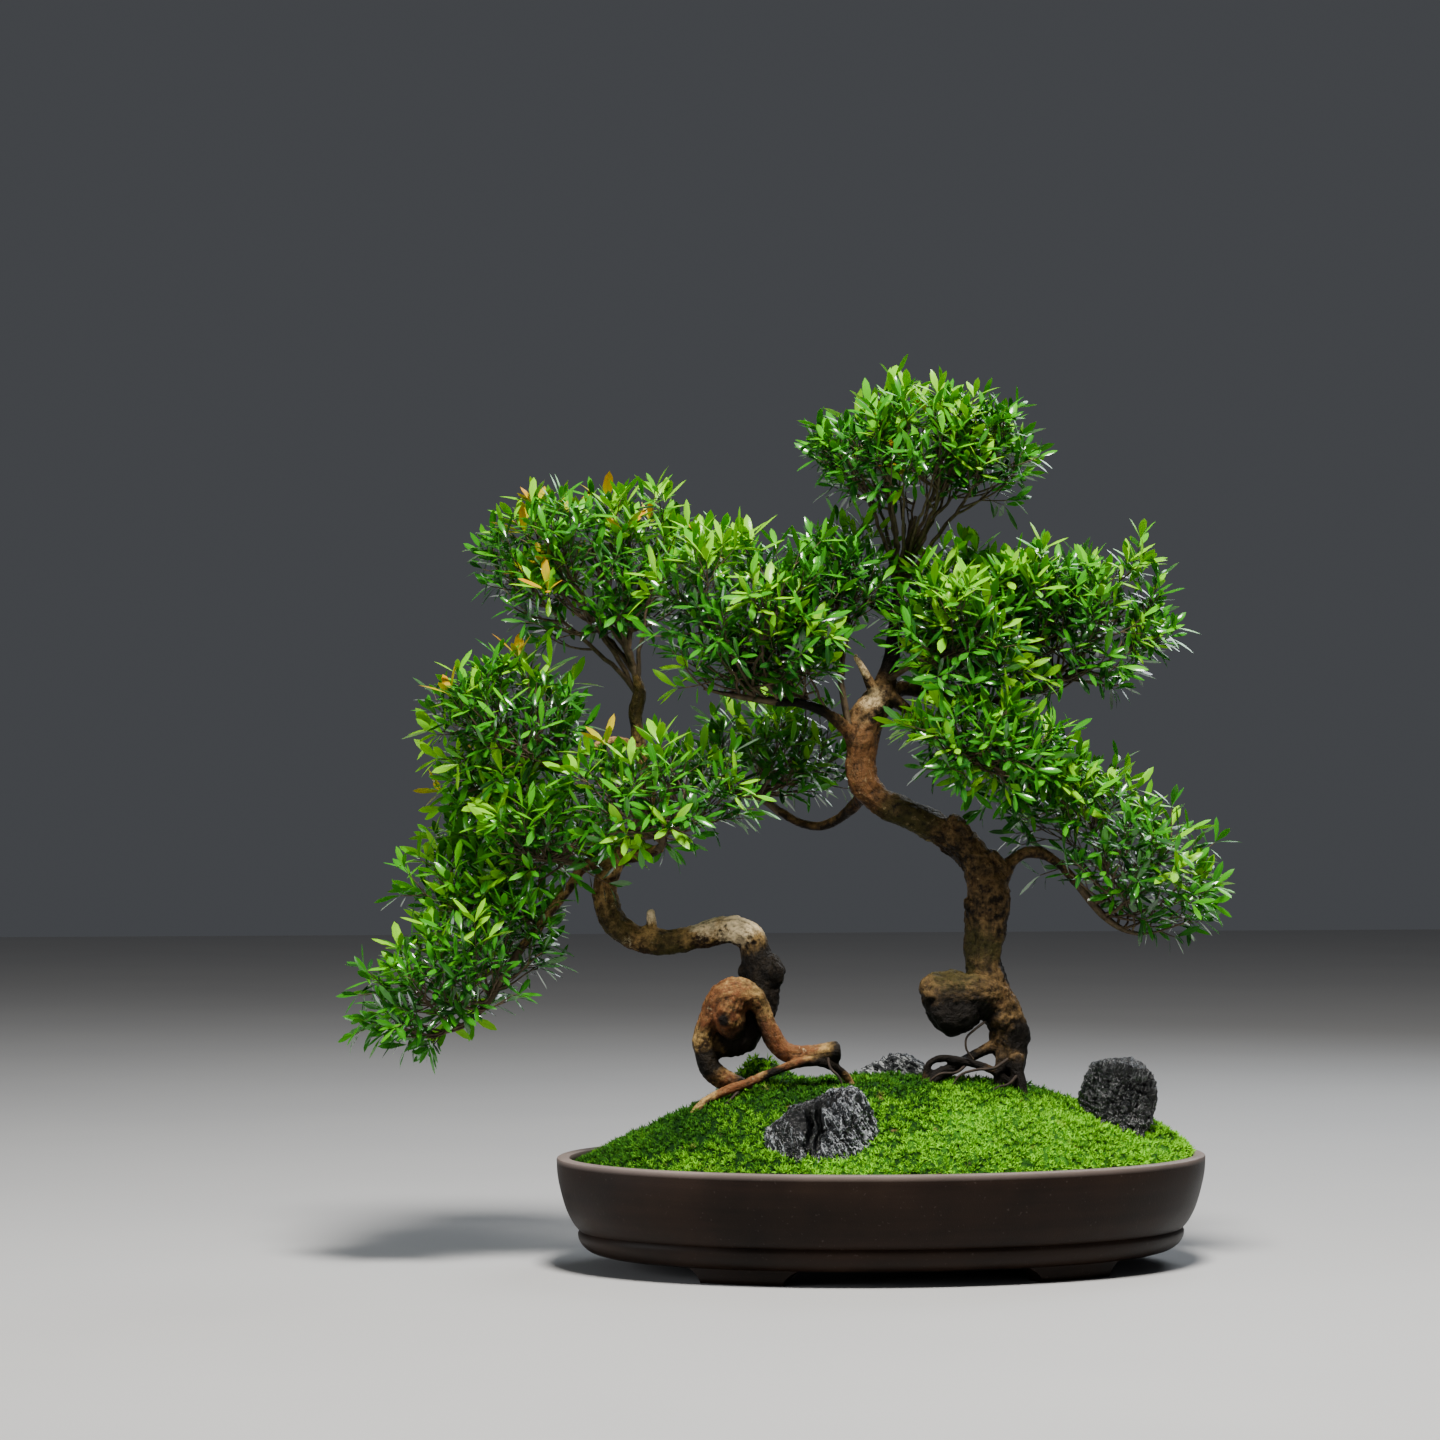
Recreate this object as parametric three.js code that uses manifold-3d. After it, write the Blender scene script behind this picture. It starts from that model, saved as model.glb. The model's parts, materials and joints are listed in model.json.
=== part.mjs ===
// A boxleaf eugenia bonsai: two gnarled trunks in a mossy mound, planted in an oval unglazed clay pot.
// Millimetres, +Z up, the pot's long axis along X. Each mesh is one separate physical piece, except that a
// leafy spray (twigs and leaves, fused) is a piece of its own beside the trunk that carries it.
import * as THREE from "three";
import { mergeVertices } from "three/addons/utils/BufferGeometryUtils.js";
import Module from "manifold-3d";

const wasm = await Module();
wasm.setup();

// Driving dimensions

const SEAT_GAP = 0.3; // air between two pieces that touch
const POT_HALF_LENGTH = 230;
const POT_HALF_WIDTH = 165;
const POT_HEIGHT = 78;
const WALL = 9; // thickness of the pot's wall and rim
const FLOOR_TOP = 17; // height of the pot's inner floor
const OVAL_SIDES = 28;
const FOOT_HEIGHT = 10;
const FOOT_INSET = 30; // from the pot's outline to a foot's outer side
const FOOT_THICK = 15;
const FOOT_SUNK = 4; // how deep a foot reaches into the pot's base
const FOOT_REACH_TOP = 15.5; // degrees either side of the foot's middle
const FOOT_REACH_BOTTOM = 9.5;
const FOOT_TURNS = [54, 126, 234, 306]; // degrees around the oval
const DRAIN_RADIUS = 11;
const DRAIN_SIDES = 14;
const DRAIN_OFFSET = 85; // each drain hole's distance from the pot's centre
const SCREEN_SIDE = 36;
const SCREEN_THICK = 1.2;
const SCREEN_HOLE = 12;
const SCREEN_PITCH = 16; // from one hole's middle to the next
const MOUND_FOOT = 76.5; // height of the moss where it meets the pot's wall
const MOUND_RISE = 55; // how far the mound stands above its foot
const MOSS_THICK = 6;
const MOSS_RIPPLE = 1.6; // height of the moss cushions
const MOSS_SHARES = [0.98, 0.84, 0.62, 0.34, 0]; // rings of the moss, as shares of its reach
const SOIL_SHARES = [0.99, 0.75, 0.4, 0];
const RIDGE_DEPTH = 0.05; // share of a stone's size
const PLANTING_TURN = -10; // degrees, how far the trees' front is turned in the pot
const TRUNK_STEP = 17; // length of one ring of a thick limb
const BRANCH_STEP = 22;
const GNARL = 0.07; // share of a limb's radius
const LEAF_LENGTH = 28;
const LEAF_WIDTH = 12;
const LEAF_FOLD = 1.8; // depth of the fold along a leaf's midrib
const LEAF_WIDEST = 0.5; // where along a leaf it is widest
const LEAF_SUNK = 3; // how deep a leaf's foot sits in what carries it
const LEAF_LEAN = 0.7; // radians, the middle lean between a leaf and the core's normal under it
const LEAF_CLEARANCE = 0.8; // how much larger a leaf is when it is tested against other pieces
const FOLIAGE_DEPTH = 20; // how far the leaves stand out of a spray's core
const CORE_BUMP = 0.15; // share of the core's size
const UNDERSIDE = 0.75; // how far a core bulges downwards, as a share of its rise
const TWIG_SPREAD = 0.8; // where a twig ends in its core, as a share of the core's half size
const TWIG_TAPER = 0.6;

// Limbs are lists of [x, y, z, radius] along the centre line, in the planting's own frame:
// x to the right seen from the front, y away from the viewer, z up from what the pot stands on.
const LEFT_LIMBS = {
  trunk: {
    sides: 8,
    line: [
      [-121, -32, 150, 6], [-113, -26, 157, 11], [-103, -20, 165, 16.6], [-93, -17, 177, 15.5],
      [-86, -15, 190, 13.2],
      [-84, -14, 203, 13], [-87, -13, 217, 12.4], [-91, -12, 230, 11], [-103, -12, 235, 10.5],
      [-121, -12, 232, 9.2],
      [-141, -12, 229, 9], [-159, -14, 228, 9.2], [-177, -16, 232, 9.2], [-190, -18, 245, 9],
      [-194, -18, 262, 8.5], [-190, -16, 280, 7.8], [-179, -12, 294, 7], [-169, -8, 310, 6.5],
      [-165, -5, 331, 5.8], [-168, -3, 352, 5.4], [-172, 0, 371, 5], [-174, 2, 389, 5], [-171, 4, 408, 4.8],
    ],
  },
  loop: {
    sides: 8,
    line: [
      [-92, -28, 126, 5], [-105, -31, 130, 7], [-117, -34, 137, 8], [-124, -35, 149, 7.6],
      [-124.5, -36, 163, 7.6],
      [-119, -37, 177, 9.4], [-112, -38, 187, 11.6], [-102, -38, 191, 12.6], [-92, -38, 191, 9.8],
      [-86, -37, 185, 7.4],
      [-82, -36, 174, 6.8], [-77, -34, 163, 6.8], [-69, -33, 153, 6.8], [-55, -32, 150, 6.3],
      [-42, -31, 151, 6.6],
      [-31, -30, 152, 7],
    ],
  },
  surface_root: {
    sides: 5,
    line: [
      [-132, -46, 108, 3], [-124, -46, 117, 3.2], [-112, -46, 124, 3.4], [-94, -46, 131, 3.4],
      [-75, -44, 139, 3.4],
      [-57, -40, 145, 3.6], [-44, -36, 145, 3.4], [-33, -31, 141, 3.2], [-24, -27, 133, 3],
      [-18, -24, 122, 2.6],
    ],
  },
  stub: { sides: 6, line: [[-161, -14, 230, 3.8], [-162.5, -15, 250, 2.9]] },
  knot: { sides: 7, line: [[-84, -14, 214, 11], [-79, -16, 205, 10], [-80, -17, 196, 7]] },
  knob: { sides: 6, line: [[-88, -12, 206, 8], [-100, -10, 207, 4.5]] },
  cascade_branch: {
    sides: 6,
    line: [
      [-190, -16, 276, 6.5], [-202, -18, 283, 4.8], [-211, -20, 279, 4.2], [-218, -22, 268, 3.8],
      [-229, -24, 254, 3.5], [-240, -26, 239, 3.2], [-252, -28, 225, 3],
    ],
  },
  back_branch: { sides: 5, line: [[-195, -16, 280, 5], [-207, -4, 290, 3.4], [-224, 8, 292, 3]] },
  front_branch: { sides: 5, line: [[-184, -14, 287, 5.5], [-169, -24, 289, 4.4], [-154, -36, 294, 3.6]] },
  upper_branch: {
    sides: 5,
    line: [[-170, -2, 361, 4.5], [-183, -8, 369, 3.4], [-197, -14, 367, 3.2], [-212, -18, 358, 3]],
  },
};
const RIGHT_LIMBS = {
  trunk: {
    sides: 8,
    line: [
      [96, 0, 106, 4.6], [94, 1, 124, 5.2], [92, 2, 137, 8.8], [90, 2, 148, 12], [89, 2, 158, 13.4],
      [88, 1, 168, 13.2], [83, 0, 179, 14], [78, -1, 189, 14], [75, 0, 198, 13.6], [72, 1, 210, 12.4],
      [72, 2, 225, 12.8], [73, 2, 240, 13.6], [73.5, 2, 251, 15.4], [74, 2, 262, 14.4], [71, 2, 273, 14],
      [65, 2, 285, 13.4], [57, 2, 295, 12.4], [46, 2, 303, 11.8], [28, 0, 314, 10.8],
      [10, -2, 321, 10.4], [-5, -4, 330, 10.2], [-14, -6, 341, 9.8], [-15.5, -6, 353, 9.8],
      [-14, -6, 366, 10.6], [-12, -5, 378, 11], [-8, -4, 389, 11.8], [-2, -2, 399, 10.6], [4, 0, 414, 6.8],
      [8, 3, 437, 5.6], [10, 5, 456, 5.2], [11, 6, 470, 4.8],
    ],
  },
  burl: {
    sides: 8,
    line: [
      [84, -1, 189, 13], [74, -3, 189, 16], [61, -7, 190, 17], [47, -9, 192, 16.4], [36, -10, 195, 12.6],
      [28, -10, 197, 6.5],
    ],
  },
  burl_belly: {
    sides: 8,
    line: [[62, -7, 188, 16], [50, -9, 182, 17.5], [49, -9, 174, 13.5], [52, -9, 165, 6]],
  },
  long_root: {
    sides: 6,
    line: [
      [88, 0, 160, 7], [79, -3, 155, 4.6], [68, -6, 150, 3.6], [60, -8, 146, 3.8], [49, -12, 139, 4.2],
      [39, -15, 135, 4.8], [30, -18, 124, 4.4],
    ],
  },
  arched_root: {
    sides: 5,
    line: [
      [29, -19, 121, 2.4], [30.5, -18, 135, 2.5], [33, -17, 143, 2.6], [41, -16, 146.5, 2.7],
      [52, -15, 145.5, 2.8], [62, -14, 143, 2.8], [73, -13, 140, 2.8], [84, -12, 134, 2.6],
      [93, -9, 126, 2.6],
    ],
  },
  left_foot: { sides: 6, line: [[86, -5, 152, 6.5], [83, -9, 140, 3.6], [80, -14, 118, 3.2]] },
  front_foot: { sides: 6, line: [[93, -6, 146, 7.5], [96, -12, 134, 4.4], [101, -18, 114, 3.4]] },
  back_foot: { sides: 6, line: [[92, 8, 148, 7.5], [96, 16, 134, 4.6], [103, 24, 114, 3.4]] },
  low_branch: {
    sides: 7,
    line: [
      [76, 2, 262, 9], [84, 2, 274, 6], [91, 3, 284, 4.6], [100, 4, 290, 4.2], [112, 5, 290, 4.2],
      [124, 7, 283, 3.6], [138, 9, 268, 3.2],
    ],
  },
  left_branch: {
    sides: 6,
    line: [
      [-14, -6, 363, 7], [-25, -13, 377, 4.6], [-38, -22, 388, 4], [-56, -32, 395, 3.6],
      [-74, -40, 396, 3.2],
    ],
  },
  back_branch: {
    sides: 6,
    line: [
      [-9, 2, 338, 7], [-17, 24, 326, 4.6], [-30, 44, 314, 3.8], [-46, 57, 308, 3.4],
      [-61, 62, 311, 3.2], [-74, 64, 319, 3],
    ],
  },
  dead_snag: { sides: 5, line: [[-5, -8, 402, 4.6], [-12, -13, 417, 3.2], [-19, -17, 429, 2.2]] },
  shoulder_branch: {
    sides: 6,
    line: [
      [-1, 0, 402, 7.5], [16, 8, 406, 5], [38, 14, 402, 4.5], [59, 18, 398, 4], [82, 22, 398, 3.6],
      [103, 26, 404, 3.2],
    ],
  },
  under_branch: {
    sides: 5,
    line: [[4, -2, 402, 6], [20, -14, 389, 3.4], [35, -25, 373, 3], [50, -32, 360, 2.8]],
  },
  inner_branch: { sides: 5, line: [[11, 5, 458, 4.5], [0, 1, 463, 3.2], [-12, -3, 468, 2.8]] },
};

// Sprays: centre and half sizes of the leafy mass, its tilt in degrees (left end down is positive), the
// number of twigs under it, the share of its core's faces that bear a leaf, and the line of its stem.
const SPRAYS = {
  left_crown_spray: {
    centre: [-206, 14, 503], half: [86, 60, 58], tilt: 0, twigs: 6, leafShare: 0.45,
    stem: [[-172, 4, 404, 4.6], [-173, 6, 420, 4.4], [-182, 10, 440, 4], [-192, 12, 462, 3.4]],
  },
  left_upper_spray: {
    centre: [-262, -24, 384], half: [60, 46, 50], tilt: 0, twigs: 4, leafShare: 0.32,
    stem: [[-209, -18, 359, 2.9], [-228, -22, 352, 2.6], [-246, -24, 354, 2.4]],
  },
  left_middle_spray: {
    centre: [-160, -56, 331], half: [70, 44, 46], tilt: 0, twigs: 4, leafShare: 0.38,
    stem: [[-157, -34, 293, 3.5], [-152, -46, 298, 3.2], [-154, -54, 310, 2.8]],
  },
  left_back_spray: {
    centre: [-268, 22, 299], half: [50, 40, 40], tilt: 0, twigs: 3, leafShare: 0.29,
    stem: [[-221, 6, 292, 3], [-240, 16, 288, 2.6], [-256, 20, 286, 2.2]],
  },
  left_cascade_spray: {
    centre: [-302, -28, 213], half: [88, 48, 46], tilt: 30, twigs: 4, leafShare: 0.38,
    stem: [
      [-250, -28, 228, 3], [-263, -30, 207, 2.8], [-275, -30, 187, 2.6], [-290, -30, 172, 2.4],
      [-306, -30, 166, 2],
    ],
  },
  right_apex_spray: {
    centre: [30, 8, 586], half: [90, 64, 58], tilt: 0, twigs: 7, leafShare: 0.49,
    stem: [[11, 6, 466, 4.6], [12, 6, 488, 4.2], [16, 7, 508, 3.6], [22, 8, 530, 3]],
  },
  right_left_spray: {
    centre: [-94, -50, 461], half: [74, 46, 60], tilt: 0, twigs: 4, leafShare: 0.38,
    stem: [[-71, -39, 396, 3.2], [-90, -44, 398, 3], [-110, -48, 402, 2.8], [-134, -50, 405, 2.2]],
  },
  right_inner_spray: {
    centre: [-31, -6, 485], half: [40, 40, 40], tilt: 0, twigs: 2, leafShare: 0.25,
    stem: [[-9, -2, 467, 2.8], [-20, -5, 471, 2.6], [-28, -6, 480, 2.2]],
  },
  right_shoulder_spray: {
    centre: [62, 10, 450], half: [56, 50, 62], tilt: 0, twigs: 3, leafShare: 0.34,
    stem: [[58, 17, 398, 3.2], [62, 14, 408, 3], [66, 12, 422, 2.6]],
  },
  right_outer_spray: {
    centre: [149, 24, 450], half: [60, 48, 62], tilt: 0, twigs: 3, leafShare: 0.36,
    stem: [[100, 26, 403, 3.1], [118, 26, 408, 2.9], [136, 25, 418, 2.6]],
  },
  right_back_spray: {
    centre: [-80, 66, 359], half: [60, 42, 44], tilt: 0, twigs: 4, leafShare: 0.32,
    stem: [[-72, 64, 317, 3], [-86, 65, 327, 2.8], [-104, 66, 331, 2.4], [-116, 66, 334, 2]],
  },
  right_low_spray: {
    centre: [162, 12, 296], half: [92, 52, 52], tilt: -36, twigs: 5, leafShare: 0.41,
    stem: [[136, 9, 270.5, 3], [156, 12, 246, 3], [170, 14, 236, 2.6], [184, 15, 232, 2.2]],
  },
  right_under_spray: {
    centre: [70, -42, 368], half: [58, 38, 36], tilt: 0, twigs: 3, leafShare: 0.31,
    stem: [[48, -32, 361, 2.8], [58, -36, 354, 2.6], [68, -40, 352, 2.2]],
  },
};

// Stones: centre, and the flats that bound each one as [normal x, normal y, normal z, distance].
const STONES = {
  front_stone: {
    at: [-40, -112, 100], detail: 2, phase: 0.4,
    flats: [
      [1, 0, 0.1, 39], [0.88, 0, 0.47, 38.5], [0.25, 0, 0.97, 38], [-0.32, 0, 0.95, 29],
      [-0.74, 0, 0.67, 33.5],
      [-1, 0, -0.1, 40], [0, -1, 0.2, 25], [0.1, 0.97, 0.25, 23], [-0.6, -0.78, 0.15, 31],
      [0.6, -0.8, 0.1, 31],
      [-0.6, 0.78, 0.1, 30], [0.6, 0.78, 0.2, 30], [0, 0, -1, 30],
    ],
  },
  right_stone: {
    at: [166, -14, 118], detail: 2, phase: 2.1,
    flats: [
      [-1, 0, 0, 29], [-0.91, 0, 0.42, 28.6], [-0.21, 0.1, 0.97, 30], [0.17, -0.1, 0.98, 29.4],
      [0.8, 0, 0.6, 30.5],
      [1, 0, 0, 29], [0.91, 0, -0.42, 28], [-0.7, 0, -0.71, 26], [0, -1, 0.1, 24], [0, 1, 0.1, 23],
      [0.65, -0.76, 0, 28], [-0.65, -0.76, 0.1, 28], [0.6, 0.8, 0.1, 27], [-0.6, 0.8, 0, 27],
      [0, 0, -1, 31],
    ],
  },
  back_stone: {
    at: [8, 72, 120], detail: 1, phase: 4,
    flats: [
      [-1, 0, 0.3, 25], [-0.45, 0, 0.89, 19], [0.1, 0, 1, 19.5], [0.6, 0, 0.8, 22.5], [1, 0, 0.2, 26],
      [0, -1, 0.3, 18], [0, 1, 0.3, 17], [0, 0, -1, 16],
    ],
  },
};

// Tools for solids and geometries

/** A seeded generator of numbers from 0 to 1. */
function seeded(seed) {
  let state = seed >>> 0;
  return () => {
    state = (state + 0x6d2b79f5) >>> 0;
    let t = state;
    t = Math.imul(t ^ (t >>> 15), t | 1);
    t ^= t + Math.imul(t ^ (t >>> 7), t | 61);
    return ((t ^ (t >>> 14)) >>> 0) / 4294967296;
  };
}

/** A closed three.js geometry as a manifold-3d solid. */
function toSolid(geometry) {
  const bare = new THREE.BufferGeometry();
  bare.setAttribute("position", geometry.getAttribute("position").clone());
  if (geometry.index) bare.setIndex(geometry.index.clone());
  const merged = mergeVertices(bare, 1e-4);
  return new wasm.Manifold(
    new wasm.Mesh({
      numProp: 3,
      vertProperties: new Float32Array(merged.attributes.position.array),
      triVerts: new Uint32Array(merged.index.array),
    }),
  );
}

/** A manifold-3d solid as a three.js geometry. */
function toGeometry(solid) {
  const mesh = solid.getMesh();
  const geometry = new THREE.BufferGeometry();
  geometry.setAttribute("position", new THREE.BufferAttribute(new Float32Array(mesh.vertProperties), 3));
  geometry.setIndex(new THREE.BufferAttribute(new Uint32Array(mesh.triVerts), 1));
  geometry.computeVertexNormals();
  return geometry;
}

/** Joins solids into one. */
function fuse(solids) {
  return solids.slice(1).reduce((whole, piece) => whole.add(piece), solids[0]);
}

/** The largest body of a solid: loose scraps are dropped. */
function largest(solid) {
  return solid.decompose().reduce((best, body) => (body.volume() > best.volume() ? body : best));
}

/** Moves every vertex of a geometry by a formula from a point to a point. */
function reshape(geometry, formula) {
  const place = geometry.getAttribute("position");
  const point = new THREE.Vector3();
  for (let i = 0; i < place.count; i += 1) {
    point.fromBufferAttribute(place, i);
    place.setXYZ(i, ...formula(point).toArray());
  }
  return geometry;
}

/** A limb that tapers along a smooth line of [x, y, z, radius], made from a closed cylinder. */
function limb(line, sides, stepLength, grow = 0, gnarl = GNARL) {
  const points = line.map(([x, y, z]) => new THREE.Vector3(x, y, z));
  const curve = new THREE.CatmullRomCurve3(points, false, "centripetal");
  const steps = Math.max(1, Math.round(curve.getLength() / stepLength));
  const frames = curve.computeFrenetFrames(steps, false);
  const last = line.length - 1;
  return reshape(new THREE.CylinderGeometry(1, 1, 1, sides, steps), (p) => {
    const ring = Math.round((0.5 - p.y) * steps);
    const t = curve.getUtoTmapping(ring / steps, 0);
    const span = Math.min(Math.floor(t * last), last - 1);
    const radius = THREE.MathUtils.lerp(line[span][3], line[span + 1][3], t * last - span);
    const turn = Math.atan2(p.x, p.z);
    const lump = 1 + gnarl * (Math.sin(2 * turn + ring * 0.9) + 0.7 * Math.sin(3 * turn - ring * 1.7));
    const reach = radius * lump + grow;
    return curve
      .getPoint(t)
      .addScaledVector(frames.normals[ring], p.x * reach)
      .addScaledVector(frames.binormals[ring], p.z * reach);
  });
}

// The pot, its soil and its moss

const BLEND_RADIUS = POT_HALF_LENGTH - 60; // inside it, rings of the oval shrink in proportion

/** Half width of the oval ring whose half length is given. */
function halfWidthAt(halfLength) {
  const narrower = POT_HALF_LENGTH - POT_HALF_WIDTH;
  if (halfLength > BLEND_RADIUS) return halfLength - narrower;
  return (halfLength * (BLEND_RADIUS - narrower)) / BLEND_RADIUS;
}

/** A solid turned from a profile of [inset from the outside, height], pressed into the pot's oval. */
function ovalSolid(profile) {
  const outline = profile.map(([inset, z]) => new THREE.Vector2(Math.max(POT_HALF_LENGTH - inset, 0), z));
  const turned = new THREE.LatheGeometry(outline, OVAL_SIDES);
  return reshape(turned, (p) => {
    const ring = Math.hypot(p.x, p.z);
    const squeeze = ring > 0 ? halfWidthAt(ring) / ring : 0;
    return new THREE.Vector3(p.x, -p.z * squeeze, p.y);
  });
}

/** Height of the mound at a place in the pot: it slopes gently on the left and stands full on the right. */
function moundAt(x, y) {
  const share = Math.min(Math.hypot(x / (POT_HALF_LENGTH - WALL), y / (POT_HALF_WIDTH - WALL)), 1);
  const fullness = 1.05 - 0.25 * Math.tanh(x / 80);
  return MOUND_FOOT + MOUND_RISE * (1 - share * share) ** fullness;
}

const MOUND_DATUM = 1000; // profile heights near this one are measured from the mound's surface

/** An oval solid whose profile heights near the datum follow the mound. */
function moundSolid(profile) {
  return reshape(ovalSolid(profile), (p) => {
    const onMound = p.z > MOUND_DATUM / 2;
    return onMound ? p.setZ(moundAt(p.x, p.y) + p.z - MOUND_DATUM) : p;
  });
}

const OUTER_WALL = [
  [31, FOOT_HEIGHT], [23, 12.5], [18, 16.5], [15.4, 21], [15, 24.5], [16, 26.5],
  [13, 30], [7.4, 40], [3, 54], [0.5, 66], [0, POT_HEIGHT - 1.5], [1.5, POT_HEIGHT],
];
const INNER_WALL = [
  [WALL - 1, POT_HEIGHT], [WALL, POT_HEIGHT - 1.5], [WALL, 62], [WALL + 8, 40], [WALL + 20, 24],
  [WALL + 34, FLOOR_TOP],
];

/** One low foot with sloping ends, bent along the base's oval. */
function foot(around) {
  return reshape(new THREE.BoxGeometry(1, 1, 1, 4, 1, 2), (p) => {
    const rise = p.z + 0.5;
    const reach = THREE.MathUtils.lerp(FOOT_REACH_BOTTOM, FOOT_REACH_TOP, rise ** 1.6);
    const turn = THREE.MathUtils.degToRad(around - 2 * p.x * reach);
    const ring = POT_HALF_LENGTH - FOOT_INSET - FOOT_THICK * (0.5 - p.y);
    return new THREE.Vector3(
      ring * Math.cos(turn),
      halfWidthAt(ring) * Math.sin(turn),
      rise * (FOOT_HEIGHT + FOOT_SUNK),
    );
  });
}

/** The pot: an oval bowl on four feet, with two drain holes. */
function pot() {
  const bowl = [[POT_HALF_LENGTH, FOOT_HEIGHT], ...OUTER_WALL, ...INNER_WALL, [POT_HALF_LENGTH, FLOOR_TOP]];
  const feet = FOOT_TURNS.map((around) => toSolid(foot(around)));
  const drains = [-1, 1].map((side) => {
    const bore = new THREE.CylinderGeometry(DRAIN_RADIUS, DRAIN_RADIUS, FLOOR_TOP * 2, DRAIN_SIDES);
    return toSolid(bore.rotateX(Math.PI / 2).translate(side * DRAIN_OFFSET, 0, FLOOR_TOP));
  });
  return fuse([toSolid(ovalSolid(bowl)), ...feet]).subtract(fuse(drains));
}

/** A square mesh screen that keeps the soil out of a drain hole. */
function drainScreen(side) {
  const plate = toSolid(new THREE.BoxGeometry(SCREEN_SIDE, SCREEN_SIDE, SCREEN_THICK));
  const holes = [[-1, -1], [1, -1], [-1, 1], [1, 1]].map(([x, y]) => {
    const hole = new THREE.BoxGeometry(SCREEN_HOLE, SCREEN_HOLE, 2 * SCREEN_THICK);
    return toSolid(hole.translate((x * SCREEN_PITCH) / 2, (y * SCREEN_PITCH) / 2, 0));
  });
  const height = FLOOR_TOP + SEAT_GAP + SCREEN_THICK / 2;
  return plate.subtract(fuse(holes)).translate([side * DRAIN_OFFSET, 0, height]);
}

const PLANTING_REACH = POT_HALF_LENGTH - WALL - SEAT_GAP; // half length of the soil and moss

/** Profile points over the mound at shares of its reach, so far above its surface. */
function moundRings(shares, above) {
  return shares.map((share) => [POT_HALF_LENGTH - PLANTING_REACH * share, MOUND_DATUM + above]);
}

const SOIL_FOOT = MOUND_FOOT - MOSS_THICK - 2;

/** The soil, recessed over the drain screens. */
function soil() {
  const wall = INNER_WALL.slice(2).reverse();
  const side = wall.map(([inset, z]) => [inset + SEAT_GAP * 1.4, Math.max(z, FLOOR_TOP + SEAT_GAP)]);
  const edge = [WALL + SEAT_GAP, SOIL_FOOT];
  const top = moundRings(SOIL_SHARES, -MOSS_THICK - SEAT_GAP);
  const body = toSolid(moundSolid([[POT_HALF_LENGTH, FLOOR_TOP + SEAT_GAP], ...side, edge, ...top]));
  const recesses = [-1, 1].map((side) => {
    const tall = 2 * (SCREEN_THICK + 2 * SEAT_GAP);
    const block = new THREE.BoxGeometry(SCREEN_SIDE + 1, SCREEN_SIDE + 1, tall);
    return toSolid(block.translate(side * DRAIN_OFFSET, 0, FLOOR_TOP + SEAT_GAP));
  });
  return body.subtract(fuse(recesses));
}

/** The moss: everything of the mound that lies over the soil. */
function moss() {
  const below = POT_HEIGHT / 2;
  const edge = [[POT_HALF_LENGTH, below], [WALL + SEAT_GAP, below], [WALL + SEAT_GAP, MOUND_FOOT]];
  const mound = reshape(moundSolid([...edge, ...moundRings(MOSS_SHARES, 0)]), (p) => {
    const cushions = Math.sin(p.x * 0.11 + 1) * Math.cos(p.y * 0.13);
    const folds = 0.6 * Math.sin(p.x * 0.05 - p.y * 0.21);
    return p.z > MOUND_FOOT ? p.setZ(p.z + MOSS_RIPPLE * (cushions + folds)) : p;
  });
  const beyond = [[POT_HALF_LENGTH, below - 1], [0, below - 1], [0, MOUND_FOOT - MOSS_THICK]];
  const under = moundSolid([...beyond, ...moundRings(SOIL_SHARES, -MOSS_THICK)]);
  return toSolid(mound).subtract(toSolid(under));
}

// The stones

/** A broken stone between its flats, with ridges that run down its sides. */
function stone({ at, flats, phase, detail }, grow = 0) {
  const rock = reshape(new THREE.IcosahedronGeometry(1, detail), (p) => {
    const spans = flats.map(([x, y, z, distance]) => {
      const slope = p.dot(new THREE.Vector3(x, y, z).normalize());
      return slope > 0.01 ? distance / slope : Infinity;
    });
    const around = Math.atan2(p.y, p.x);
    const ridges = 1 - RIDGE_DEPTH * (1 + Math.sin(7 * around + phase + 2 * p.z)) * (1 - p.z * p.z);
    return p.multiplyScalar(Math.min(...spans) * ridges + grow);
  });
  return toSolid(rock.translate(...at));
}

// The trees

/** One tree's trunk, roots and branches as one solid; grow makes it thicker all over. */
function trunk(limbs, grow = 0) {
  const parts = Object.values(limbs).map(({ line, sides }) => {
    const step = sides > 6 ? TRUNK_STEP : BRANCH_STEP;
    return toSolid(limb(line, sides, step, grow));
  });
  return fuse(parts);
}

/** One leaf: a closed blade folded along its midrib, its foot at the origin, lying along +X with +Z up. */
function leafBlade(length, width, fold) {
  return reshape(new THREE.TetrahedronGeometry(1, 0), (p) => {
    if (p.z > 0) return new THREE.Vector3(p.x > 0 ? 0 : length, 0, 0);
    return new THREE.Vector3(length * LEAF_WIDEST, (Math.sign(p.y) * width) / 2, fold);
  });
}

/** Turns and moves a blade: it grows from its foot along a heading, its upper side facing a given way. */
function placeBlade(blade, foot, heading, facing) {
  const across = facing.clone().cross(heading).normalize();
  const up = heading.clone().cross(across);
  return blade.applyMatrix4(new THREE.Matrix4().makeBasis(heading, across, up).setPosition(foot));
}

/** A point or direction in a spray's own frame, tilted about the Y axis. */
function tilted(x, y, z, tilt) {
  const turn = THREE.MathUtils.degToRad(-tilt);
  return new THREE.Vector3(x, y, z).applyAxisAngle(new THREE.Vector3(0, 1, 0), turn);
}

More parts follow.
